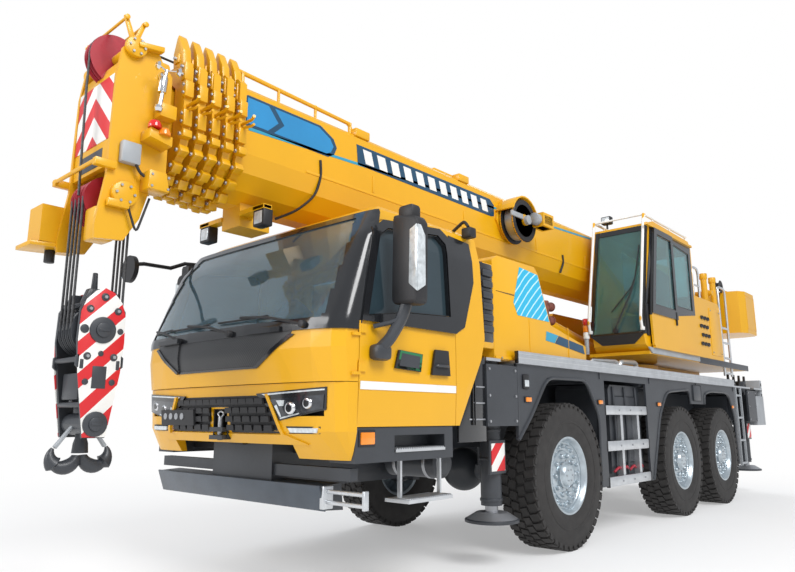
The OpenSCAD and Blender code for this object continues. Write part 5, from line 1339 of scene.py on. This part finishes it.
# the grille's openings are not cut: black slots on the grey plate and on its side are painted shade for the
# dark behind them
ends.use(black_plastic)
for row in range(8):
    for col in range(4):
        z = 1.20 + row * 0.08
        ends.box((-5.799, -5.790), (0.82 + col * 0.09, 0.88 + col * 0.09), (z, z + 0.04), 0.006)
for row in range(7):
    z = 1.22 + row * 0.09
    ends.box((-5.775, -5.72), (1.219, 1.226), (z, z + 0.05), 0.006)
for s in (1, -1):
    ends.box((-5.792, -5.765), about(s * 0.55, 0.16), (1.15, 1.27), 0.008)
    for lens, y, r in ((red_lens, 0.46, 0.04), (amber, 0.56, 0.035), (chrome, 0.655, 0.035)):
        ends.use(lens)
        ends.rod((-5.79, s * y, 1.21), (-5.802, s * y, 1.21), r, sides=20)
    ends.use(paint_dark)
    ends.turned([(0.0, -0.30), (0.09, -0.29), (0.12, -0.26), (0.12, 0.26), (0.09, 0.29), (0.0, 0.30)],
                (3.12, s * 0.72, 0.86), "y", 28)
    ends.use(steel)
    for y in (-0.16, 0.16):
        ends.turned([(0.122, -0.015), (0.126, -0.012), (0.126, 0.012), (0.122, 0.015)],
                    (3.12, s * 0.72 + y, 0.86), "y", 28)
    ends.use(black_plastic)
    ends.tube([(3.05, s * 0.7, 0.98), (2.98, s * 0.66, 1.06), (2.98, s * 0.5, 1.08)], 0.012, 0.05)
ends.done("carrier")

board = striped("board", (0.80, 0.79, 0.76), (0.62, 0.015, 0.02), (1, 0, 1), 0.17)
for key, x, side, board_z in (("fl", 2.51, 1, 0.89), ("fr", 2.75, -1, 0.89), ("rl", -5.07, 1, 1.0),
                              ("rr", -4.83, -1, 1.0)):
    jack_y = side * 1.035
    leg = Piece(f"outrigger_fittings_{key}", paint_dark, board, steel)
    leg.box((x - 0.07, x + 0.17), about(side * 1.135, 0.012), about(board_z, 0.14), 0.004)
    leg.box(about(x, 0.03), about(side * 1.12, 0.03), about(board_z, 0.1), 0.004)
    for z in (0.52, 0.86, 1.10, 1.72):
        leg.rod((x, jack_y, z), (x, jack_y, z + 0.025), 0.098, sides=32, bevel=0.005)
    leg.use(board)
    leg.box((x - 0.05, x + 0.15), about(side * 1.149, 0.003), about(board_z, 0.115), 0.001)
    leg.use(steel)
    beam_x = 2.63 if x > 0 else -4.95
    leg.bolts([(beam_x + u, side * 1.259, z) for u in (-0.2, 0.2) for z in (1.19, 1.40, 1.62)],
              (0, side, 0), 0.013, 0.012)
    leg.done(f"outrigger_beam_{key}")
    foot = Piece(f"jack_fittings_{key}", paint_dark, steel)
    foot.turned([(0.058, 0.43), (0.085, 0.425), (0.12, 0.405), (0.225, 0.378), (0.232, 0.37),
                 (0.232, 0.352), (0.22, 0.349), (0.0, 0.349)], (x, jack_y, 0), "z", 36)
    for u, v in ring_points(8, 0.16, 0.5):
        foot.box(about(x + u, 0.012), about(jack_y + v, 0.012), (0.38, 0.405), 0.004)
    foot.use(steel)
    foot.bolts([(x + u, jack_y + v, 0.415) for u, v in ring_points(6, 0.1)], (0, 0, 1), 0.012, 0.016)
    foot.done(f"outrigger_jack_{key}")

# %% [markdown]
# Seats: foam cushions and backs, crowned in the middle and drawn in at the edges.
# %% Seat cushions
def cushion(name, body, centre, size, lean=0.0):
    pad = Piece(name, seat_cloth)
    verts = bmesh.ops.create_cube(pad.bm, size=1.0)["verts"]
    bmesh.ops.subdivide_edges(pad.bm, edges=pad.bm.edges[:], cuts=5, use_grid_fill=True)
    for v in pad.bm.verts:
        u, w, t = v.co.x * 2, v.co.y * 2, v.co.z * 2
        puff = (1 - u * u) * (1 - w * w)
        v.co.z += 0.22 * t * puff
        v.co.x *= 1 - 0.07 * w * w * abs(t)
        v.co.y *= 1 - 0.07 * u * u * abs(t)
    shape = Matrix.Diagonal((*size, 1))
    pad.mark(pad.bm.verts[:], Matrix.Translation(centre) @ Matrix.Rotation(lean, 4, "Y") @ shape)
    pad.done(body, angle=60)


for side, label in ((1, "left"), (-1, "right")):
    cushion(f"seat_cushion_{label}", "carrier", (3.67, side * 0.64, 1.575), (0.52, 0.54, 0.13))
    cushion(f"seat_back_{label}", "carrier", (3.41, side * 0.64, 1.88), (0.13, 0.50, 0.66), lean=-0.06)
cushion("operator_cushion", "turntable", (-1.78, 0.88, 2.52), (0.46, 0.42, 0.12))
cushion("operator_back", "turntable", (-2.03, 0.88, 2.86), (0.12, 0.40, 0.66), lean=-0.09)
